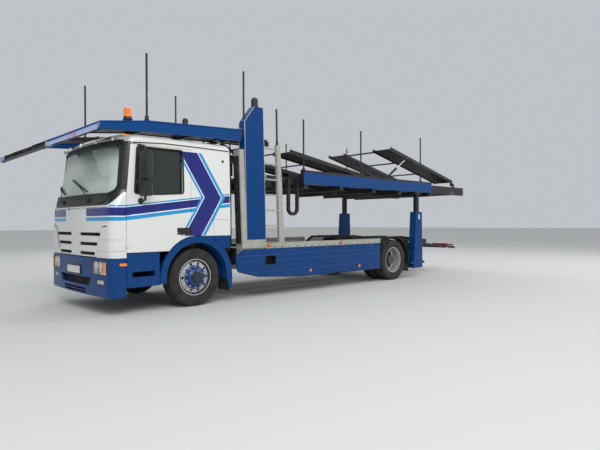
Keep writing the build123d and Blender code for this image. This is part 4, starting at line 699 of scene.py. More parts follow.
def make_cab_front():
    whole = Skin("cab_shell", "front_flap", "windscreen", "bumper")
    shell = Skin("cab_shell")
    seal = [shell.front(y, z, 0.003) for y, z in screen_outline(0.014)]
    Shape().tube(seal, 0.015, 8, AHEAD, loop=True).piece("windscreen_seal", "rubber")
    # Cowl under the windscreen, with its lower lip and two rows of slots
    cowl = shell.panel(row(-1.06, 0.053, 41), lambda y: 1.64 + 0.05 * max(0, abs(y) - 0.9) / 0.16,
                      lambda y: 1.785, 3, 0.012)
    cowl.piece("cowl", "black_plastic", bevel=0.003)
    slots = Shape()
    for z, y in product((1.735, 1.752), row(-0.92, 0.08, 24)):
        x = shell.front(y, z, 0.013).x
        slots.box((x - 0.003, x + 0.002), (y - 0.03, y + 0.03), (z - 0.003, z + 0.003))
    slots.piece("cowl_slots", "mesh_black")
    # Wipers: pivots on the cowl, cranked arms and blades that lie on the glass
    screen = Skin("windscreen")
    wipers, blades = Shape(), Shape()
    for y in (0.52, -0.52):
        foot = shell.front(y, 1.7, 0.012)
        wipers.lathe([(0, 0.03), (0.018, 0.03), (0.024, 0.022), (0.034, 0.018)], foot, (1, 0, 0.1), 16)
        knee = screen.front(y - 0.1, 1.83, 0.055)
        tip = screen.front(y - 0.42, 1.955, 0.035)
        wipers.sweep([foot + Vector((0.025, 0, 0)), foot + Vector((0.034, -0.03, 0.045)), knee, tip],
                     rounded(0.018, 0.01, 0.004, 2), AHEAD)
        blade = [screen.front(y - 0.42 + s * 0.4, 1.955 - s * 0.13, 0.014)
                 for s in (-0.85, -0.5, 0.0, 0.5, 0.85)]
        blades.sweep(blade, rounded(0.012, 0.022, 0.004, 2), AHEAD)
        lift = Vector((0.012, 0, 0))
        wipers.tube([blade[1] + lift, tip, blade[3] + lift], 0.006, 6, AHEAD)
    wipers.piece("wiper_arms", "black_plastic", bevel=0.001)
    blades.piece("wiper_blades", "rubber")
    # Roof bar over the windscreen with marker lamps
    bar, lamps = Shape(), Shape()
    bar.sweep([shell.front(y, 2.6, 0.024) for y in row(-1.02, 0.085, 25)], rounded(0.03, 0.034, 0.012, 3))
    for y in (-0.9, -0.45, 0.0, 0.45, 0.9):
        p = shell.front(y, 2.6)
        bar.box((p.x - 0.005, p.x + 0.022), (y - 0.02, y + 0.02), (2.592, 2.608))
    bar.piece("roof_bar", "silver_trim")
    for y in (-1.0, -0.55, 0.0, 0.55, 1.0):
        lamps.lathe([(0, 0.034), (0.012, 0.034), (0.02, 0.028), (0.024, 0.012), (0.025, 0)],
                    shell.front(y, 2.6, 0.038), (1, 0, 0.15), 20)
    lamps.piece("roof_bar_lamps", "clear_lens")
    # Grille mesh behind the slots of the flap
    mesh = Shape()
    for z, reach in ((1.197, 0.9), (1.05, 0.81), (0.905, 0.73)):
        for low in (-reach, 0.0):
            high = low + reach - 0.17
            for y in spread(low, high, round((high - low) / 0.02)):
                x = whole.front(y, z + 0.037).x
                mesh.box((x - 0.03, x - 0.024), (y - 0.0018, y + 0.0018), (z - 0.025, z + 0.025))
            front = [whole.front(y, z + 0.037) for y in spread(low, high, 8)]
            for up in (-0.012, 0.0, 0.012):
                mesh.sweep([(p.x - 0.027, p.y, z + up) for p in front], WIRE)
    mesh.piece("flap_mesh", "mesh_black", "front_flap")


def make_lamps():
    bumper = Skin("bumper", "headlamps")
    for hand, side in SIDES:
        out = (0, side, 0)
        bowls, bulbs, bezel = Shape(), Shape(), Shape()
        for y, z, radius, deep, back in (
                (0.8, 0.735, 0.062, 0.03, 0.004), (0.94, 0.735, 0.062, 0.03, 0.004),
                (0.8, 0.655, 0.034, 0.03, 0.004), (0.94, 0.655, 0.034, 0.03, 0.004),
                (0.87, 0.492, 0.03, 0.02, 0.003), (1.0, 0.492, 0.03, 0.02, 0.003)):
            bowls.lathe([(-deep, radius * 0.2), (-deep * 0.8, radius * 0.55), (-deep * 0.4, radius * 0.85),
                         (0.0, radius), (0.002, radius * 1.06), (0.0, radius * 1.1)],
                        (bumper.front(side * y, z).x - back, side * y, z), AHEAD, 28, caps=False)
        bowls.piece(f"{hand}_lamp_bowls", "reflector")
        for y, z in ((0.8, 0.735), (0.94, 0.735), (0.87, 0.492), (1.0, 0.492)):
            bulbs.lathe([(-0.022, 0.01), (-0.004, 0.012), (0, 0.008), (0.001, 0)],
                        bumper.front(side * y, z), AHEAD, 12)
        bulbs.piece(f"{hand}_bulbs", "clear_lens")
        turn = bumper.panel([side * y for y in row(1.02, 0.01, 10)], lambda y: 0.622, lambda y: 0.784,
                            4, 0.002)
        turn.piece(f"{hand}_indicator", "amber_lens", bevel=0.002)
        for y0, y1, z0, z1, thick in ((0.7, 1.13, 0.6, 0.806, 0.01), (0.82, 1.06, 0.455, 0.53, 0.007)):
            points = divided(rounded(y1 - y0, z1 - z0, 0.02, 3), 0.05)
            bezel.tube([bumper.front(side * ((y0 + y1) / 2 + a), (z0 + z1) / 2 + b, 0.001)
                        for a, b in points], thick / 2, 8, AHEAD, loop=True)
        bezel.piece(f"{hand}_lamp_bezels", "black_plastic")
        flank = Shape().plate(0.11, 0.042, 0.015, (1.262, side * 1.244, 0.755), out, 0.016)
        flank.piece(f"{hand}_side_indicator", "amber_lens", bevel=0.003)


def make_intakes():
    """Dark mesh behind the bumper's openings, and a curved wall behind it."""
    def curve(x, y):
        return x - 0.05 * (y / 1.1) ** 2

    mesh = Shape()
    for reach, z_low, z_high, pitch in ((0.64, 0.415, 0.55, 0.022), (0.45, 0.29, 0.38, 0.03)):
        for y in spread(-reach, reach, round(2 * reach / pitch)):
            x = curve(1.45, y)
            mesh.box((x, x + 0.004), (y - 0.002, y + 0.002), (z_low, z_high))
        for k in range(round((z_high - z_low) / pitch) + 1):
            mesh.sweep([(curve(1.452, y), y, z_low + k * pitch) for y in spread(-reach, reach, 10)], WIRE)
    mesh.piece("intake_mesh", "mesh_black")
    Shape().sweep([(curve(1.44, y), y, 0.44) for y in row(-0.68, 0.136, 11)],
                  [(-0.002, -0.16), (0.002, -0.16), (0.002, 0.11), (-0.002, 0.11)]
                  ).piece("intake_backing", "mesh_black")


def make_plates():
    """Blank plates with their raised rims and holders, front and rear."""
    width, tall = 0.52, 0.112
    for name, x, way, z in (("front", 1.512, 1, 0.641), ("rear", -6.606, -1, 0.51)):
        facing = (way, 0, 0)
        holder = Shape().plate(width + 0.03, tall + 0.03, 0.012, (x, 0, z), facing, 0.008)
        holder.piece(f"{name}_plate_holder", "black_plastic", bevel=0.002)
        plate = Shape().plate(width, tall, 0.01, (x + way * 0.008, 0, z), facing, 0.003)
        rim = [(x + way * 0.012, a, z + b) for a, b in rounded(width - 0.008, tall - 0.008, 0.008, 3)]
        plate.tube(rim, 0.002, 6, AHEAD, loop=True).piece(f"{name}_plate", "plate")


def make_cab_sides():
    for hand, side in SIDES:
        out, door = (0, side, 0), f"{hand}_door"

        def flank(z):
            """Distance from the middle of the cab's leaning side."""
            return 1.245 - 0.03 / 1.09 * (z - 1.6)

        # Window frame rubber, door handle and lock
        points = round_path([(1.08, 1.8), (1.03, 2.505), (0.26, 2.505), (0.26, 1.83), (0.7, 1.8)], 0.045)
        Shape().sweep([(x, side * (flank(z) + 0.002), z) for x, z in points],
                      rounded(0.026, 0.01, 0.004, 2), out, loop=True
                      ).piece(f"{hand}_window_seal", "rubber", door)
        Shape().sweep([(x, side * y, z) for x, y, z in (
            (0.16, 1.243, 1.232), (0.175, 1.262, 1.234), (0.25, 1.268, 1.236), (0.33, 1.262, 1.234),
            (0.345, 1.243, 1.232))], rounded(0.028, 0.012, 0.005, 3), out
                      ).piece(f"{hand}_handle", "black_plastic", door)
        Shape().lathe([(0, 0.011), (0.004, 0.011), (0.005, 0.007)], (0.36, side * 1.244, 1.205), out, 16
                      ).piece(f"{hand}_lock", "bolt", door)
        # Swage lines below the window, mirror glasses and arm clamps
        swage, face, clamp = Shape(), Shape(), Shape()
        for z in (1.345, 1.425):
            swage.box((0.14, 1.19), sorted((side * 1.243, side * 1.2475)), (z - 0.002, z + 0.002))
        swage.piece(f"{hand}_swage", "cab_door", door)
        for z0, z1 in ((2.035, 2.395), (1.785, 1.945)):
            face.slab(rounded(0.19, z1 - z0, 0.02, 3), (0.93, side * 1.405, (z0 + z1) / 2),
                      (0, -side, 0), UP, side * 0.003)
        face.piece(f"{hand}_mirror_glass", "mirror_glass", door)
        for z in (1.7, 1.74, 1.985, 2.44):
            clamp.lathe([(0, 0.019), (0.018, 0.019)], (0.985, side * 1.39, z), UP, 14)
        for z in (1.69, 2.5):
            clamp.lathe([(0, 0.045), (0.006, 0.045), (0.014, 0.03), (0.03, 0.019)],
                        (0.985, side * (flank(z) + 0.001), z), out, 20)
        clamp.piece(f"{hand}_mirror_clamps", "black_plastic", door)
        # Fixed trims on the shell: drip rail, seams, vent and roof marker
        Shape().sweep([(x, side * y, z) for x, y, z in (
            (1.1, 1.222, 2.556), (0.6, 1.2205, 2.588), (-0.1, 1.2205, 2.588), (-0.62, 1.2205, 2.58))],
            rounded(0.012, 0.022, 0.004, 2), out).piece(f"{hand}_drip_rail", "rubber")
        seam, surface = Shape(), sorted((side * 1.2425, side * 1.2462))
        seam.box((-0.3, -0.297), surface, (1.16, 1.6)).box((-0.6, 0.09), surface, (1.417, 1.42))
        seam.piece(f"{hand}_seams", "rubber")
        Shape().lathe([(0, 0.022), (0.006, 0.022), (0.01, 0.014)], (-0.5, side * 1.222, 2.4), out, 20
                      ).piece(f"{hand}_vent", "black_plastic")
        Shape().plate(0.1, 0.028, 0.01, (1.185, side * 1.2165, 2.648), out, 0.014
                      ).piece(f"{hand}_roof_marker", "amber_lens", bevel=0.003)
        # Steps: raised dimples on the treads, and the well's back wall with pressed ribs
        tread, well = Shape(), Shape()
        for z, y_out in ((0.44, 1.16), (0.81, 1.16), (1.11, 1.14)):
            for x, y in product(row(0.79, 0.038, 9), row(y_out, -0.04, 5)):
                tread.lathe([(0, 0.008), (0.004, 0.005)], (x, side * y, z), UP, 8)
        tread.piece(f"{hand}_step_dimples", "bolt")
        well.box((0.765, 1.12), sorted((side * 0.934, side * 0.94)), (0.445, 0.8))
        for x in (0.81, 0.88, 0.95, 1.02, 1.09):
            well.plate(0.03, 0.3, 0.01, (x, side * 0.94, 0.622), out, 0.004)
        well.piece(f"{hand}_step_well", "steel_black")


# Interior: seats, bunk and dashboard trim
def pad(name, centre, size, tilt, channels=0, depth=0.5):
    """Crowned cushion: sides draw in between the corners, with sewn channels across its face."""
    steps, power = (14, 14, 6), 2.6
    shape, grid = Shape(), {}
    for key in product(*(range(n + 1) for n in steps)):
        if any(k in (0, n) for k, n in zip(key, steps)):
            u, v, w = (2 * k / n - 1 for k, n in zip(key, steps))
            crown = 1 - depth * 0.35 * (abs(u) ** power + abs(v) ** power) / 2
            x = u * (1 - 0.03 * (1 - v * v)) * (0.97 + 0.03 * (1 - w * w))
            y = v * (1 - 0.03 * (1 - u * u)) * (0.97 + 0.03 * (1 - w * w))
            z = w * crown * (1 + 0.05 * (1 - w * w))
            if channels and w > 0.9 and abs(u) < 0.9 and abs(v) < 0.9:
                z -= 0.1 * max(0.0, cos(channels * pi * (u + 1))) ** 6
            grid[key] = shape.mesh.verts.new([part * whole / 2 for part, whole in zip((x, y, z), size)])
    # Faces of the six sides, between neighbours along the two other axes
    for axis, (a, b) in enumerate(((1, 2), (0, 2), (0, 1))):
        for p, q, end in product(range(steps[a]), range(steps[b]), (0, steps[axis])):
            corners = []
            for key_a, key_b in ((p, q), (p + 1, q), (p + 1, q + 1), (p, q + 1)):
                key = [end] * 3
                key[a], key[b] = key_a, key_b
                corners.append(grid[tuple(key)])
            shape.mesh.faces.new(corners)
    turn = Matrix.Rotation(radians(tilt), 4, "Y")
    bmesh.ops.transform(shape.mesh, matrix=turn, verts=shape.mesh.verts[:])
    bmesh.ops.translate(shape.mesh, vec=centre, verts=shape.mesh.verts[:])
    obj = shape.piece(name, "seat_cloth", smooth=60, slot="seat_cloth")
    level = obj.modifiers.new("soft", "SUBSURF")
    level.levels = level.render_levels = 1
    return obj


def make_interior():
    for hand, side in SIDES:
        y = side * 0.575
        base = Shape()
        for x0, x1, half, z0, z1 in (
                (0.16, 0.5, 0.22, 1.362, 1.4), (0.22, 0.44, 0.15, 1.4, 1.53),
                *((0.2, 0.46, 0.17, fold - 0.006, fold + 0.006) for fold in (1.43, 1.46, 1.49)),
                (0.14, 0.53, 0.24, 1.53, 1.575)):
            base.box((x0, x1), (y - half, y + half), (z0, z1))
        base.piece(f"{hand}_seat_base", "black_plastic", bevel=0.006)
        pad(f"{hand}_seat_cushion", (0.37, y, 1.655), (0.5, 0.52, 0.15), -4, channels=2)
        pad(f"{hand}_seat_back", (0.115, y, 1.99), (0.62, 0.5, 0.12), -81, channels=3)
        pad(f"{hand}_headrest", (0.045, y, 2.375), (0.17, 0.28, 0.1), -81)
        Shape().sweep([(0.16, y + side * 0.235, 1.6), (0.12, y + side * 0.2, 1.9),
                       (0.065, y + side * 0.14, 2.26)], box_outline(0.046, 0.002), (1, 0, 0.2)
                      ).piece(f"{hand}_belt", "black_plastic")
    bunk = Shape().box((-0.565, -0.105), (-1.115, 1.115), (1.365, 1.685))
    for y in (-0.56, 0.56):
        bunk.box((-0.106, -0.1), (y - 0.45, y + 0.45), (1.42, 1.63))
    bunk.piece("bunk_base", "dash_plastic", bevel=0.01)
    pad("bunk_mattress", (-0.322, 0, 1.758), (0.49, 2.28, 0.135), 0, channels=4, depth=0.3)
    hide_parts("seats")


def make_dash():
    """Instrument hood and vents of the dashboard."""
    dash = Shape().sweep([(1.03, 0.33, 1.715), (1.03, 0.575, 1.745), (1.03, 0.82, 1.715)],
                         [(-0.09, -0.02), (0.09, -0.02), (0.08, 0.03), (0.0, 0.045), (-0.08, 0.03)])
    for y in (-0.95, -0.55, -0.05, 0.12, 1.0):
        dash.slab(rounded(0.12, 0.05, 0.012, 3), (0.953, y, 1.64), (0, -1, 0), (0.15, 0, 1), 0.012)
    dash.piece("dash_trim", "black_plastic", bevel=0.003)


# Over-cab deck and its fittings
NOSE_TRACK = [(-1.65, 2.875), (0.84, 2.83), (1.592, 2.745), (2.25, 2.425)]
NOSE_TOP = [(-0.87, 2.987), (0.84, 2.901), (1.592, 2.799), (2.285, 2.441)]
TRACK_Y = (0.492, 1.008)


def height_on(line, x):
    """Height at x of a line of points (x, z)."""
    for (xa, za), (xb, zb) in zip(line, line[1:]):
        if x <= xb:
            break
    return za + (zb - za) * (x - xa) / (xb - xa)


def rungs(places, y=TRACK_Y, radius=0.005):
    """Cross bars over the left track, at places (x, z)."""
    shape = Shape()
    for x, z in places:
        shape.bar((x, y[0], z), (x, y[1], z), radius, 6)
    return shape


def make_beacon():
    """Base and ribbed dome in place of the CAD lamp."""
    beacon_x, beacon_y = 1.17, 1.22
    Shape().lathe([(0, 0.05), (0.004, 0.066), (0.016, 0.068), (0.03, 0.062), (0.045, 0.06)],
                  (beacon_x, beacon_y, 2.87), UP, 32).piece("beacon_base", "black_plastic", "front_deck")
    profile = [(0.0, 0.058)]
    for rib in row(0.01, 0.0125, 9):
        profile += [(rib, 0.0585), (rib + 0.006, 0.0568)]
    profile += [(0.128, 0.054), (0.136, 0.046), (0.142, 0.03), (0.144, 0.0)]
    dome = Shape().lathe(profile, (beacon_x, beacon_y, 2.914), UP, 40)
    obj = dome.piece("beacon_dome", "amber_lens", "front_deck", slot="amber_lens")
    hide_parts("beacon")


def make_front_deck():
    """Red wheel stops on the tracks, rungs, collars of the posts, lips and bolts of the beams."""
    stops = Shape()
    for x in (0.92, 0.22):
        z, y0, y1 = height_on(NOSE_TRACK, x), 0.495, 1.005
        stops.bar((x, y0, z + 0.045), (x, y1, z + 0.045), 0.02, 16)
        for y in spread(y0 + 0.03, y1 - 0.03, 2):
            stops.box((x - 0.012, x + 0.012), (y - 0.006, y + 0.006), (z - 0.002, z + 0.05))
    stops.pair("front_wheel_stops", "red_paint", "front_deck")
    places = [(x, height_on(NOSE_TRACK, x) + 0.006) for x in row(-1.55, 0.155, 24)]
    rungs(places, radius=0.006).pair("front_deck_rungs", "steel_black", "front_deck")
    posts, edge, bolts = Shape(), Shape(), Shape()
    posts.lathe([(0, 0.03), (0.05, 0.03), (0.055, 0.024)], (0.87, 1.22, 2.92), UP, 16)
    posts.lathe([(0, 0.0185), (0.02, 0.0185), (0.026, 0.01), (0.028, 0)], (0.87, 1.22, 3.893), UP, 16)
    posts.pair("front_post_collars", "black_plastic", "front_deck")
    for (xa, za), (xb, zb) in zip(NOSE_TOP, NOSE_TOP[1:]):
        edge.sweep([(xa, 1.264, za - 0.008), (xb, 1.264, zb - 0.008)], rounded(0.01, 0.022, 0.004, 2))
    edge.pair("front_beam_edge", "beam_blue", "front_deck")
    for x, dx, dz in product((-0.76, 0.0, 0.84, 1.592), (-0.03, 0.03), (-0.025, 0.025)):
        bolts.nut((x + dx, 1.2605, height_on(NOSE_TOP, x) - 0.09 + dz), LEFT, 0.008, 0.007)
    bolts.pair("front_beam_bolts", "beam_blue", "front_deck")


# Towers, ladders, back of the cab, rails and skirts
RAIL_Y, SKIRT_Y = 1.27, 1.265  # outer faces
BEAM_Y, POST_Y = 1.21, 1.225  # middles
GUARD_X, GUARD_Y, LADDER_Y = -0.985, 1.175, 1.235  # guard post at the tower, and the ladder's post


def make_towers():
    trim = Shape()
    for x0, z0, x1, z1 in ((-0.972, 1.062, -0.93, 3.14), (-0.93, 3.14, -1.15, 3.426),
                           (-1.402, 1.062, -1.35, 3.426)):
        trim.sweep([(x0, RAIL_Y, z0), (x1, RAIL_Y, z1)], rounded(0.014, 0.014, 0.004, 2), LEFT)
    trim.pair("tower_trim", "silver_trim")


def make_guides():
    """Black guide channel over the inner half of the front post, with its hoses and clips."""
    guide, clips = Shape(), Shape()
    x_low, z_low, x_high, z_high = -0.86, 1.0, -0.8045, 2.525
    for y, half, deep in ((1.107, 0.005, 0.022), (1.241, 0.005, 0.022), (1.174, 0.064, 0.008)):
        guide.sweep([(x_low, y, z_low), (x_high, y, z_high)],
                    [(-half, -deep), (half, -deep), (half, 0.0), (-half, 0.0)], AHEAD)
    for y in (1.128, 1.15, 1.172, 1.196, 1.218):
        guide.tube([(x_low + 0.004, y, z_low + 0.02), (x_high + 0.004, y, z_high - 0.03)], 0.008, 8)
    for share in row(0.06, 0.17, 6):
        x, z = x_low + (x_high - x_low) * share, z_low + (z_high - z_low) * share
        clips.box((x - 0.004, x + 0.016), (1.114, 1.234), (z - 0.012, z + 0.012))
    guide.pair("tower_guides", "steel_black")
    clips.pair("tower_hose_clips", "black_plastic", bevel=0.002)


def make_tower_fittings():
    """Caps of the cylinders, bolts and covers of the pivot pins."""
    cap = Shape()
    for z, profile, caps in (
            (3.437, [(0, 0.0605), (0.002, 0.0625), (0.108, 0.0625), (0.11, 0.0605)], False),
            (3.55, [(0, 0.064), (0.012, 0.066), (0.02, 0.064), (0.022, 0.05), (0.05, 0.046),
                    (0.056, 0.03), (0.058, 0.0)], True),
            (3.45, [(0, 0.066), (0.014, 0.066)], True)):
        cap.lathe(profile, (-1.22, 1.19, z), UP, 32, caps=caps)
    cap.pair("tower_cylinder_caps", "black_plastic")
    bolts, pins = Shape(), Shape()
    for z, x in product((0.955, 1.02), (-1.36, -1.25, -1.06, -0.95)):
        bolts.nut((x, 1.2755, z), LEFT, 0.01, 0.009)
    for z in (2.1, 2.2, 2.3):
        bolts.nut((-1.37, 1.1205, z), LEFT, 0.011, 0.01)
    bolts.pair("tower_bolts", "light_grey")
    for x, z in ((-1.5, 2.2), (-1.25, 2.83)):
        pins.lathe([(0, 0.052), (0.01, 0.052), (0.014, 0.046), (0.016, 0.02), (0.017, 0.0)],
                   (x, 1.1205, z), LEFT, 24)
    pins.pair("pivot_covers", "bolt")


def make_ladders():
    """Black sleeves and caps of the guard posts, ladder treads, and collars of the ladder's posts."""
    caps, treads = Shape(), Shape()
    caps.tube([(GUARD_X, GUARD_Y, 3.1), (GUARD_X, GUARD_Y, 4.03)], 0.0172, 14, AHEAD)
    caps.tube([(-1.7105, LADDER_Y, 2.86), (-1.7, LADDER_Y, 3.462)], 0.0176, 14)
    for place in ((GUARD_X, GUARD_Y, 4.036), (-1.7, LADDER_Y, 3.468)):
        caps.lathe([(-0.03, 0.0185), (0, 0.0185), (0.003, 0.012), (0.0035, 0.0)], place, UP, 16)
    caps.pair("guard_post_caps", "black_plastic")
    for z, x in product((1.3, 1.585, 1.87, 2.153, 2.437, 2.72), row(-1.74, 0.038, 9)):
        treads.box((x, x + 0.012), (1.221, 1.249), (z + 0.011, z + 0.015))
    treads.pair("ladder_treads", "light_grey")
    Shape().lathe([(0, 0.024), (0.06, 0.024), (0.064, 0.019)], (-1.713, LADDER_Y, 2.795), (0.015, 0, 1),
                  16).pair("ladder_sleeves", "steel_black")


def make_cab_back():
    """Valve panel with coiled air lines behind the cab, beside the intake."""
    panel, coils, fittings = Shape(), Shape(), Shape()
    panel.box((-0.778, -0.77), (0.975, 1.085), (1.0, 2.12))
    for z in (1.25, 1.62, 2.02):
        panel.box((-0.772, -0.74), (0.955, 0.985), (z, z + 0.03))
        panel.box((-0.792, -0.77), (0.985, 1.075), (z - 0.06, z - 0.035))
    turns, steps, pitch = 17, 12, 0.04
    for y, top in ((1.0, 1.93), (1.055, 1.87)):
        path = []
        for i in range(turns * steps + 1):
            a = 2 * pi * i / steps
            path.append((-0.726 + 0.026 * cos(a), y + 0.024 * sin(a), top - pitch * i / steps))
        coils.tube(path, 0.006, 6)
        coils.tube([(-0.765, y, top + 0.1), (-0.74, y, top + 0.09), (-0.7, y, top + 0.03), path[0]], 0.006, 6,
                   LEFT)
        coils.tube([path[-1], (-0.705, y, 1.18), (-0.73, y, 1.1), (-0.765, y, 1.09)], 0.006, 6, LEFT)
        for z in (top + 0.1, 1.09):
            fittings.lathe([(0, 0.012), (0.018, 0.012), (0.022, 0.008)], (-0.77, y, z), AHEAD, 12)
    for z, y in product((1.03, 1.45, 2.09), (0.985, 1.075)):
        fittings.nut((-0.77, y, z), AHEAD, 0.007, 0.006)
    panel.piece("valve_panel", "steel_black")
    coils.piece("air_coils", "rubber")
    fittings.piece("air_fittings", "bolt")


def make_rear_wall():
    """Cable bundle across the back of the cab and ribs on its rear wall."""
    bundle, ribs = Shape(), Shape()
    for z in row(0.985, 0.028, 4):
        bundle.tube([(-0.672, -1.05, z), (-0.672, 0.1, z - 0.02), (-0.675, 0.95, z), (-0.7, 1.06, z - 0.05)],
                    0.011, 8)
    for y in (-0.8, -0.4, 0.0, 0.4, 0.8):
        bundle.box((-0.69, -0.645), (y - 0.015, y + 0.015), (0.96, 1.09))
    bundle.piece("cable_bundle", "rubber")
    for y in (-0.9, -0.6, -0.3, 0.0, 0.3, 0.6, 0.9):
        ribs.plate(0.06, 1.15, 0.02, (-0.6405, y, 1.85), (-1, 0, 0), 0.006)
    ribs.piece("cab_back_ribs", "cab_white", bevel=0.003)


def make_side_rails():
    """Blue panel at the cab's rear corner; the side rail's lamps, slots, edges and studs."""
    Shape().slab([(-0.16, 1.147), (-0.16, 1.138), (-0.22, 1.121), (-0.3, 1.088), (-0.38, 1.042),
                  (-0.45, 0.988), (-0.515, 0.928), (-0.636, 0.928), (-0.636, 1.147)],
                 (0, 1.212, 0), AHEAD, UP, -0.026).pair("cab_corner_panels", "body_blue", bevel=0.004)
    lamps, slots, edges = Shape(), Shape(), Shape()
    for x in (-1.487, -3.46):
        lamps.plate(0.095, 0.04, 0.018, (x, RAIL_Y, 0.952), LEFT, 0.018, 4)
        slots.plate(0.115, 0.056, 0.022, (x, RAIL_Y, 0.952), LEFT, 0.005, 4)
    lamps.pair("side_marker_lamps", "amber_lens", bevel=0.003)
    for x in row(-1.6, -0.2, 16):
        slots.plate(0.05, 0.014, 0.006, (x, RAIL_Y, 0.918), LEFT, 0.001)
    slots.pair("side_rail_slots", "mesh_black")
    for z in (0.994, 0.899):
        edges.sweep([(-4.79, 1.268, z), (-1.41, 1.268, z)], rounded(0.01, 0.01, 0.003, 2))
    for x in row(-1.55, -0.45, 8):
        edges.lathe([(0, 0.008), (0.003, 0.007), (0.005, 0.003)], (x, RAIL_Y, 0.975), LEFT, 10)
    edges.pair("side_rail_edges", "light_grey")


def make_skirts():
    """Pressed lines, seams, latches, foot hole, rubber foot and reflectors of the skirt."""
    lines, seams, latches, rear_end = Shape(), Shape(), Shape(), -4.79
    # The pressed lines are drawn in a lighter blue than the skirt: a painted highlight along the creases
    for x0, x1, z in ((-0.76, rear_end, 0.775), (-0.79, -1.395, 0.665), (-1.655, rear_end, 0.665),
                      (-0.96, rear_end, 0.48)):
        lines.sweep([(x0, 1.2655, z), (x1, 1.2655, z)],
                    [(-0.0015, -0.004), (0.002, -0.002), (0.002, 0.002), (-0.0015, 0.004)])
    lines.pair("skirt_lines", "skirt_line")
    for x in (-1.8, -3.3):
        seams.box((x - 0.0025, x + 0.0025), (1.264, 1.2658), (0.345, 0.884))
    rim = round_path([(-1.65, 0.6), (-1.39, 0.6), (-1.39, 0.76), (-1.65, 0.76)], 0.02, 3)
    seams.sweep([(x, 1.2655, z) for x, z in rim], rounded(0.012, 0.006, 0.002, 2), LEFT, loop=True)
    for x in (-2.1, -3.0, -3.6, -4.5):
        seams.plate(0.07, 0.03, 0.01, (x, SKIRT_Y, 0.845), LEFT, 0.003)
        latches.plate(0.045, 0.012, 0.005, (x, 1.268, 0.845), LEFT, 0.004)
        latches.lathe([(0, 0.005), (0.004, 0.004)], (x + 0.028, 1.268, 0.845), LEFT, 10)
    seams.pair("skirt_seams", "mesh_black")
    # Foot hole under the ladder: a closed pocket with a ribbed tread
    pocket, deep = Shape(), (1.13, 1.238)
    x0, x1, z0, z1 = -1.665, -1.375, 0.585, 0.775
    pocket.box((x0, x1), (1.13, 1.134), (z0, z1))
    for z in (z0, z1 - 0.003):
        pocket.box((x0, x1), deep, (z, z + 0.003))
    for x in (x0, x1 - 0.003):
        pocket.box((x, x + 0.003), deep, (z0, z1))
    for x in row(x0 + 0.02, 0.034, 8):
        pocket.box((x, x + 0.014), (1.145, 1.23), (z0 + 0.003, z0 + 0.008))
    pocket.pair("skirt_pockets", "steel_black")
    latches.pair("skirt_latches", "bolt")
    foot = [(-0.8, 1.258, 0.507), (-1.227, 1.258, 0.397), (-2.27, 1.258, 0.327), (rear_end, 1.258, 0.313)]
    Shape().sweep(foot, rounded(0.018, 0.014, 0.004, 2)).pair("skirt_foot", "rubber")
    spots = Shape()
    for x in (-2.55, -4.05):
        spots.lathe([(0, 0.03), (0.006, 0.03), (0.009, 0.024), (0.01, 0.0)], (x, 1.2652, 0.42), LEFT, 24)
    # The amber lens material glows faintly, so these reflectors, which are no lamps, carry painted light
    spots.pair("skirt_reflectors", "amber_lens")


def make_mud_flaps():
    """Mud flaps of the front and rear wheels, and the rear ones' bars."""
    flaps, stays, flap_x = Shape(), Shape(), rear_axle - 0.575
    for x, y0, y1, z0, z1 in ((-0.635, 0.87, 1.2, 0.2, 0.6), (flap_x, 0.62, 1.22, 0.17, 0.6)):
        rings, mid = [], (z0 + z1) / 2
        for i, y in enumerate(spread(y0, y1, 8)):
            wave = 0.004 * sin(i * 1.3)
            rings.append([(x + shift, y, z) for shift, z in (
                (wave - 0.003, z0), (wave + 0.003, z0), (-wave * 0.5 + 0.003, mid), (0.003, z1),
                (-0.003, z1), (-wave * 0.5 - 0.003, mid))])
        flaps.skin(rings).box((x - 0.01, x + 0.01), (y0 - 0.005, y1 + 0.005), (z1 - 0.03, z1))
    flaps.pair("mud_flaps", "mudflap")
    stays.tube([(flap_x, 0.5, 0.605), (flap_x, 1.23, 0.605)], 0.014, 10)
    stays.tube([(flap_x, 0.44, 0.64), (flap_x, 0.52, 0.605)], 0.012, 8)
    for a in (20, 60, 100, 140):
        x, z = rear_axle + 0.548 * cos(radians(a)), axle_z + 0.557 * sin(radians(a))
        stays.sweep([(x, 1.058, z), (x, 1.252, z)], rounded(0.03, 0.006, 0.002, 2))
    stays.pair("mudguard_stays", "steel_black")


# Decks: rungs across the tracks, wheel stops, rails on the beams, post feet, pipes and cable carrier
RUNG_STEP = 0.12


def slope_height(x):
    """Height of the sloping end of the lower deck."""
    return 0.985 + 0.094 * (x - (rear_axle - 0.55))


def wheel_stops(places, reach, wedges):
    """Bars across the left track at places (x, z), each on three wedges."""
    shape, middle = Shape(), 0.75
    for x, z in places:
        shape.bar((x, middle - reach, z + 0.045), (x, middle + reach, z + 0.045), 0.02, 16)
        for y in (middle - wedges, middle, middle + wedges):
            shape.slab([(-0.06, 0), (0.03, 0), (0.012, 0.045), (-0.012, 0.045)], (x, y, z + 0.001),
                       AHEAD, UP, 0.008)
    return shape


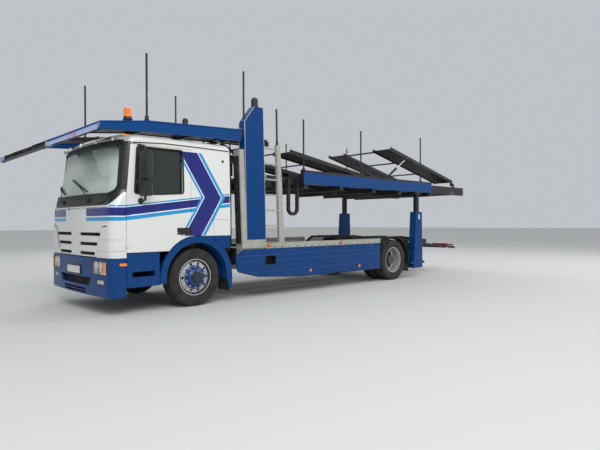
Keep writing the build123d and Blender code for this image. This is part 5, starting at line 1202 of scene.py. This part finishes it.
def make_decks():
    def level(start, z, count):
        return [(x, z) for x in row(start, -RUNG_STEP, count)]

    def sloped(start, lift, count):
        return [(x, slope_height(x) + lift) for x in row(start, -RUNG_STEP, count)]

    rungs(level(-1.5, 0.8435, 26) + level(rear_axle + 0.48, 0.9885, 8)
          + sloped(rear_axle - 0.62, 0.0035, 8)).pair("lower_deck_rungs", "steel_black")
    rungs(sloped(rear_axle - 1.76, -0.0565, 12), (0.512, 0.988)
          ).pair("lower_extension_rungs", "steel_black", "lower_extension")
    rungs(level(-2.26, 2.2735, 22)).pair("main_deck_rungs", "steel_black", "main_deck")
    rungs(level(rear_axle - 2.54, 2.2735, 8)).pair("upper_extension_rungs", "steel_black", "upper_extension")
    for name, pivot, slope, length, lift, y0, y1, red in (
            ("front_platform", (rear_axle + 0.2, 2.3), 8.6, 2.99, 0.01, 0.507, 0.993, True),
            ("rear_platform", (rear_axle - 3.0, 2.42), 12.7, 2.96, 0.075, 0.492, 1.008, False)):
        c, s = cos(radians(slope)), sin(radians(slope))

        def spot(along, up):
            return pivot[0] + along * c - up * s, pivot[1] + along * s + up * c

        places = [spot(along, lift + 0.0035) for along in row(0.08, RUNG_STEP, int(length / RUNG_STEP))]
        rungs(places, (y0, y1)).pair(f"{name}_rungs", "steel_black", name)
        stops = Shape()
        for x, z in (spot(0.35, lift + 0.04), spot(2.45, lift + 0.04)):
            stops.bar((x, y0 - 0.004, z), (x, y1 + 0.004, z), 0.018, 14)
        stops.pair(f"{name}_stops", "red_paint" if red else "steel_black", name)
    wheel_stops([(x, slope_height(x) - 0.06) for x in (rear_axle - 2.82, rear_axle - 3.12)], 0.238, 0.22
                ).pair("tail_wheel_stops", "red_paint", "lower_extension")
    wheel_stops([(-1.75, 0.84), (-4.35, 0.84)], 0.26, 0.24).pair("lower_wheel_stops", "steel_black")


def make_beams():
    """Dark rail along the top with its slots, end plates, bolts and post feet."""
    strip, ends, bolts, feet = Shape(), Shape(), Shape(), Shape()
    strip.sweep([(rear_axle - 1.57, BEAM_Y, 2.3515), (-2.39, BEAM_Y, 2.3515)],
                [(-0.052, -0.004), (0.052, -0.004), (0.052, 0.036), (0.046, 0.04), (0.036, 0.04),
                 (0.03, 0.034), (-0.04, 0.034), (-0.046, 0.038), (-0.052, 0.036)])
    for x in row(-2.6, -0.4, 11):
        strip.plate(0.16, 0.018, 0.008, (x, 1.262, 2.371), LEFT, 0.003)
    strip.pair("beam_top_strip", "steel_black", "main_deck")
    for x, way in ((-2.387, 1), (rear_axle - 1.573, -1)):
        ends.plate(0.098, 0.226, 0.01, (x, BEAM_Y, 2.235), (way, 0, 0), 0.008)
    ends.pair("beam_end_plates", "steel_black", "main_deck", bevel=0.001)
    for x, dx in product((-2.45, -3.5, rear_axle + 0.8, rear_axle - 0.2, rear_axle - 0.97), (-0.03, 0.03)):
        bolts.nut((x + dx, BEAM_Y, 2.1195), (0, 0, -1), 0.01, 0.01)
    for x, top in ((-2.41, 3.38), (-4.164, 3.37), (-6.516, 3.49)):
        for dx in (-0.04, 0.04):
            bolts.nut((x + dx, POST_Y, 2.392), UP, 0.008, 0.008)
        feet.plate(0.12, 0.07, 0.008, (x, POST_Y, 2.383), UP, 0.01, 2)
        feet.lathe([(0, 0.031), (0.012, 0.031), (0.016, 0.026)], (x, POST_Y, 2.41), UP, 16)
        feet.lathe([(-0.02, 0.0185), (0, 0.0185), (0.004, 0.01), (0.005, 0)], (x, POST_Y, top), UP, 16)
    bolts.pair("main_deck_bolts", "bolt", "main_deck")
    feet.pair("post_feet", "black_plastic", "main_deck")


def make_pipes():
    """Steel pipes of the hydraulics along the inside of the beams, with clamps."""
    pipes = Shape()
    for z in row(2.17, 0.035, 3):
        pipes.tube([(x, 1.148, z) for x in (rear_axle - 1.5, -4.3, -2.62, -2.56)], 0.007, 8)
    for x in (-2.9, -3.9, -4.9, -5.9, -6.7):
        pipes.box((x - 0.015, x + 0.015), (1.138, 1.16), (2.155, 2.255))
    pipes.pair("hydraulic_pipes", "bolt", "main_deck")


def make_carrier():
    """Pivot bosses on each link of the cable carrier: down, round the bend and up again."""
    bosses, middle, top, low, radius = Shape(), -2.225, 2.16, 1.645, 0.115
    leg, turn = top - low, pi * radius
    count = round((2 * leg + turn) / 0.052)
    for i in range(1, count):
        s = i * (2 * leg + turn) / count
        if s < leg:
            x, z = middle + radius, top - s
        elif s < leg + turn:
            a = (s - leg) / radius
            x, z = middle + radius * cos(a), low - radius * sin(a)
        else:
            x, z = middle - radius, low + s - leg - turn
        for y, way in ((1.135, 1), (1.075, -1)):
            bosses.lathe([(-0.002, 0.012), (0.004, 0.012), (0.006, 0.008)], (x, y, z), (0, way, 0), 12)
    bosses.piece("carrier_bosses", "black_plastic", "main_deck")


# Rear posts, tail lamps and coupling
def make_posts():
    post_x = rear_axle - 0.97
    # The clear lens material glows faintly, so these reflectors, which are no lamps, carry painted light
    Shape().plate(0.05, 0.12, 0.008, (post_x, 1.275, 1.5), LEFT, 0.003).pair("post_reflectors", "clear_lens")
    collar, holes = Shape(), Shape()
    outline = round_path([(post_x - 0.125, 1.105), (post_x + 0.125, 1.105), (post_x + 0.125, 1.27),
                          (post_x - 0.125, 1.27)], 0.012, 3)
    collar.sweep([(x, y, 1.618) for x, y in outline], rounded(0.012, 0.014, 0.004, 2), UP, loop=True)
    for z, dx in product((0.42, 0.62), (-0.1, 0.12)):
        collar.nut((post_x + dx, 1.2752, z), LEFT, 0.012, 0.01)
    collar.pair("post_fittings", "beam_blue")
    for z in row(1.66, 0.05, 7):
        holes.lathe([(0, 0.01), (0.001, 0.01)], (post_x, 1.2402, z), LEFT, 14)
    holes.pair("post_holes", "mesh_black", "inner_posts")


def make_tail_lamps():
    """Three chambers in each housing."""
    x = rear_axle - 1.2
    for name, finish, y0, y1 in (("stop_lamps", "red_lens", 0.73, 0.885),
                                 ("turn_lamps", "amber_lens", 0.9, 1.045),
                                 ("reversing_lamps", "clear_lens", 0.575, 0.715)):
        Shape().plate(y1 - y0, 0.095, 0.012, (x, (y0 + y1) / 2, 0.65), (-1, 0, 0), 0.01
                      ).pair(name, finish, bevel=0.003)
    Shape().plate(0.49, 0.116, 0.012, (x + 0.004, 0.81, 0.65), (-1, 0, 0), 0.006
                  ).pair("lamp_boxes", "black_plastic", bevel=0.003)


def make_coupling():
    """Bolts of the hanger, the rim of the pin's bore, and red marks at the lower extension's end."""
    bolts = Shape()
    for y, z in product((-0.19, 0.19), (0.36, 0.48, 0.54)):
        bolts.nut((rear_axle - 1.1003, y, z), (-1, 0, 0), 0.014, 0.014)
    bolts.lathe([(0, 0.04), (0.006, 0.04), (0.006, 0.027), (0.0, 0.027)], (rear_axle - 1.24, 0, 0.5), UP, 28,
                caps=False)
    bolts.piece("coupling_bolts", "bolt")
    marks = Shape()
    for y in (0.62, 0.88):
        marks.plate(0.18, 0.05, 0.006, (rear_axle - 3.222, y, slope_height(rear_axle - 3.2) - 0.085),
                    (-1, 0, 0), 0.002, 2)
    marks.pair("tail_marks", "red_paint", "lower_extension")


# Chassis: engine, springs, bellows, tanks
def make_springs():
    bellows, profile = Shape(), [(0.0, 0.118)]
    for base in row(0.012, 0.052, 3):
        profile += [(base + up, radius) for up, radius in (
            (0, 0.118), (0.01, 0.126), (0.026, 0.13), (0.042, 0.126), (0.05, 0.118))]
    for x in (rear_axle - 0.46, rear_axle + 0.46):
        bellows.lathe(profile + [(0.184, 0.118)], (x, 0.4, 0.3955), UP, 32)
    bellows.pair("air_bellows", "rubber")
    leaves = Shape()
    for k, reach in enumerate((0.62, 0.46)):
        path = [(x, 0.4, 0.422 - 0.013 * k + 0.07 * (x / 0.77) ** 2)
                for x in spread(-reach, reach, 12) if abs(x) > 0.06]
        for way in (1, -1):
            leaves.sweep([p for p in path if way * p[0] > 0], box_outline(0.072, 0.01))
    for x in (-0.055, 0.055):
        leaves.bar((x, 0.355, 0.47), (x, 0.445, 0.47), 0.008, 8)
        for y in (0.357, 0.443):
            leaves.bar((x, y, 0.33), (x, y, 0.48), 0.008, 8)
    leaves.pair("spring_leaves", "frame")


def make_engine():
    engine = Shape()
    for x in row(0.72, -0.16, 6):
        engine.box((x - 0.06, x + 0.06), (-0.16, 0.16), (1.248, 1.285))
    engine.box((-0.25, 0.8), (0.338, 0.38), (0.86, 1.1)).box((-0.25, 0.75), (-0.4, -0.338), (0.8, 0.98))
    for x in (-0.1, 0.1, 0.3, 0.5, 0.7):
        engine.bar((x, -0.35, 0.93), (x, -0.375, 1.16), 0.03, 12)
        engine.nut((x, 0.38, 0.9), LEFT, 0.012, 0.01)
    engine.box((-0.32, 0.82), (-0.24, 0.24), (0.5, 0.582)).piece("engine_details", "frame", bevel=0.006)
    cooler, height = Shape(), 0.92
    cooler.lathe([(0, 0.3), (0.04, 0.3), (0.04, 0.285), (0.0, 0.285)], (0.86, 0, height), AHEAD, 40,
                 caps=False)
    cooler.lathe([(0, 0.08), (0.05, 0.08), (0.06, 0.05), (0.062, 0)], (0.86, 0, height), AHEAD, 24)
    for a in fan(8):
        c, s = cos(a), sin(a)
        cooler.skin([[(x, r * c - w * s, height + r * s + w * c) for x, w in blade] for r, blade in (
            (0.07, ((0.868, 0.02), (0.888, -0.02), (0.892, -0.02), (0.872, 0.02))),
            (0.27, ((0.866, 0.06), (0.896, -0.06), (0.9, -0.06), (0.87, 0.06))))])
    cooler.piece("cooling_fan", "black_plastic")


def make_tanks():
    """Straps and filler cap of the tanks, and the universal joints of the shaft."""
    straps = Shape()
    for side, places in ((1, (-2.35, -2.85, -3.35)), (-1, (-2.35, -3.0))):
        for x in places:
            straps.sweep([(x, side * y, z) for y, z in (
                (0.62, 0.702), (1.1, 0.702), (1.152, 0.66), (1.152, 0.4), (1.09, 0.348), (0.62, 0.348))],
                box_outline(0.05, 0.004), AHEAD)
    straps.piece("tank_straps", "steel_black")
    Shape().lathe([(0, 0.048), (0.03, 0.048), (0.035, 0.055), (0.055, 0.055), (0.06, 0.048), (0.062, 0)],
                  (-2.25, 1.1, 0.66), (0, 0.75, 0.6), 28).piece("tank_cap", "black_plastic")
    joints = Shape()
    for x, z in ((-1.19, 0.612), (-3.1, 0.557), (rear_axle + 0.46, 0.503)):
        way = (1, 0, 0.03)
        joints.lathe([(-0.05, 0.06), (-0.04, 0.078), (0.04, 0.078), (0.05, 0.06)], (x, 0, z), way, 20)
        for a in fan(4, 0.4):
            joints.nut((x + 0.04, 0.066 * cos(a), z + 0.066 * sin(a)), way, 0.009, 0.008)
    joints.piece("shaft_joints", "frame")


# Floor, world and lamps
def make_stage():
    bpy.ops.mesh.primitive_plane_add(size=240.0, location=(0.0, 0.0, 0.0))
    floor = bpy.context.object
    floor.name = "floor"
    floor.data.materials.append(Tree("floor_matte").finish(rgb(214, 214, 210), 0.9))
    world = bpy.data.worlds.new("studio")
    world.use_nodes = True
    background = world.node_tree.nodes["Background"]
    background.inputs["Color"].default_value = rgb(226, 230, 236)
    background.inputs["Strength"].default_value = 0.69
    scene.world = world
    for name, place, power, aim in (
            ("key_lamp", (9.0, 13.0, 12.0), 1560.0, (0.0, 0.0, 1.5)),
            ("fill_lamp", (-12.0, 8.0, 9.0), 600.0, (-1.0, 0.0, 1.5)),
            ("back_lamp", (-6.0, -12.0, 11.0), 600.0, (0.0, 0.0, 1.5))):
        data = bpy.data.lights.new(name, "AREA")
        data.energy = power
        data.size = 9.0
        lamp = bpy.data.objects.new(name, data)
        lamp.location = place
        lamp.rotation_euler = (Vector(aim) - Vector(place)).to_track_quat("-Z", "Y").to_euler()
        scene.collection.objects.link(lamp)


scene.view_settings.view_transform = "Standard"
make_camera()
make_stage()
finishes = make_materials()
dress_nodes()
for make in (make_wheels, make_cab_front, make_lamps, make_intakes, make_plates, make_cab_sides,
             make_interior, make_dash, make_beacon, make_front_deck, make_towers, make_guides,
             make_tower_fittings, make_ladders, make_cab_back, make_rear_wall, make_side_rails,
             make_skirts, make_mud_flaps, make_decks, make_beams, make_pipes, make_carrier, make_posts,
             make_tail_lamps, make_coupling, make_springs, make_engine, make_tanks):
    make()
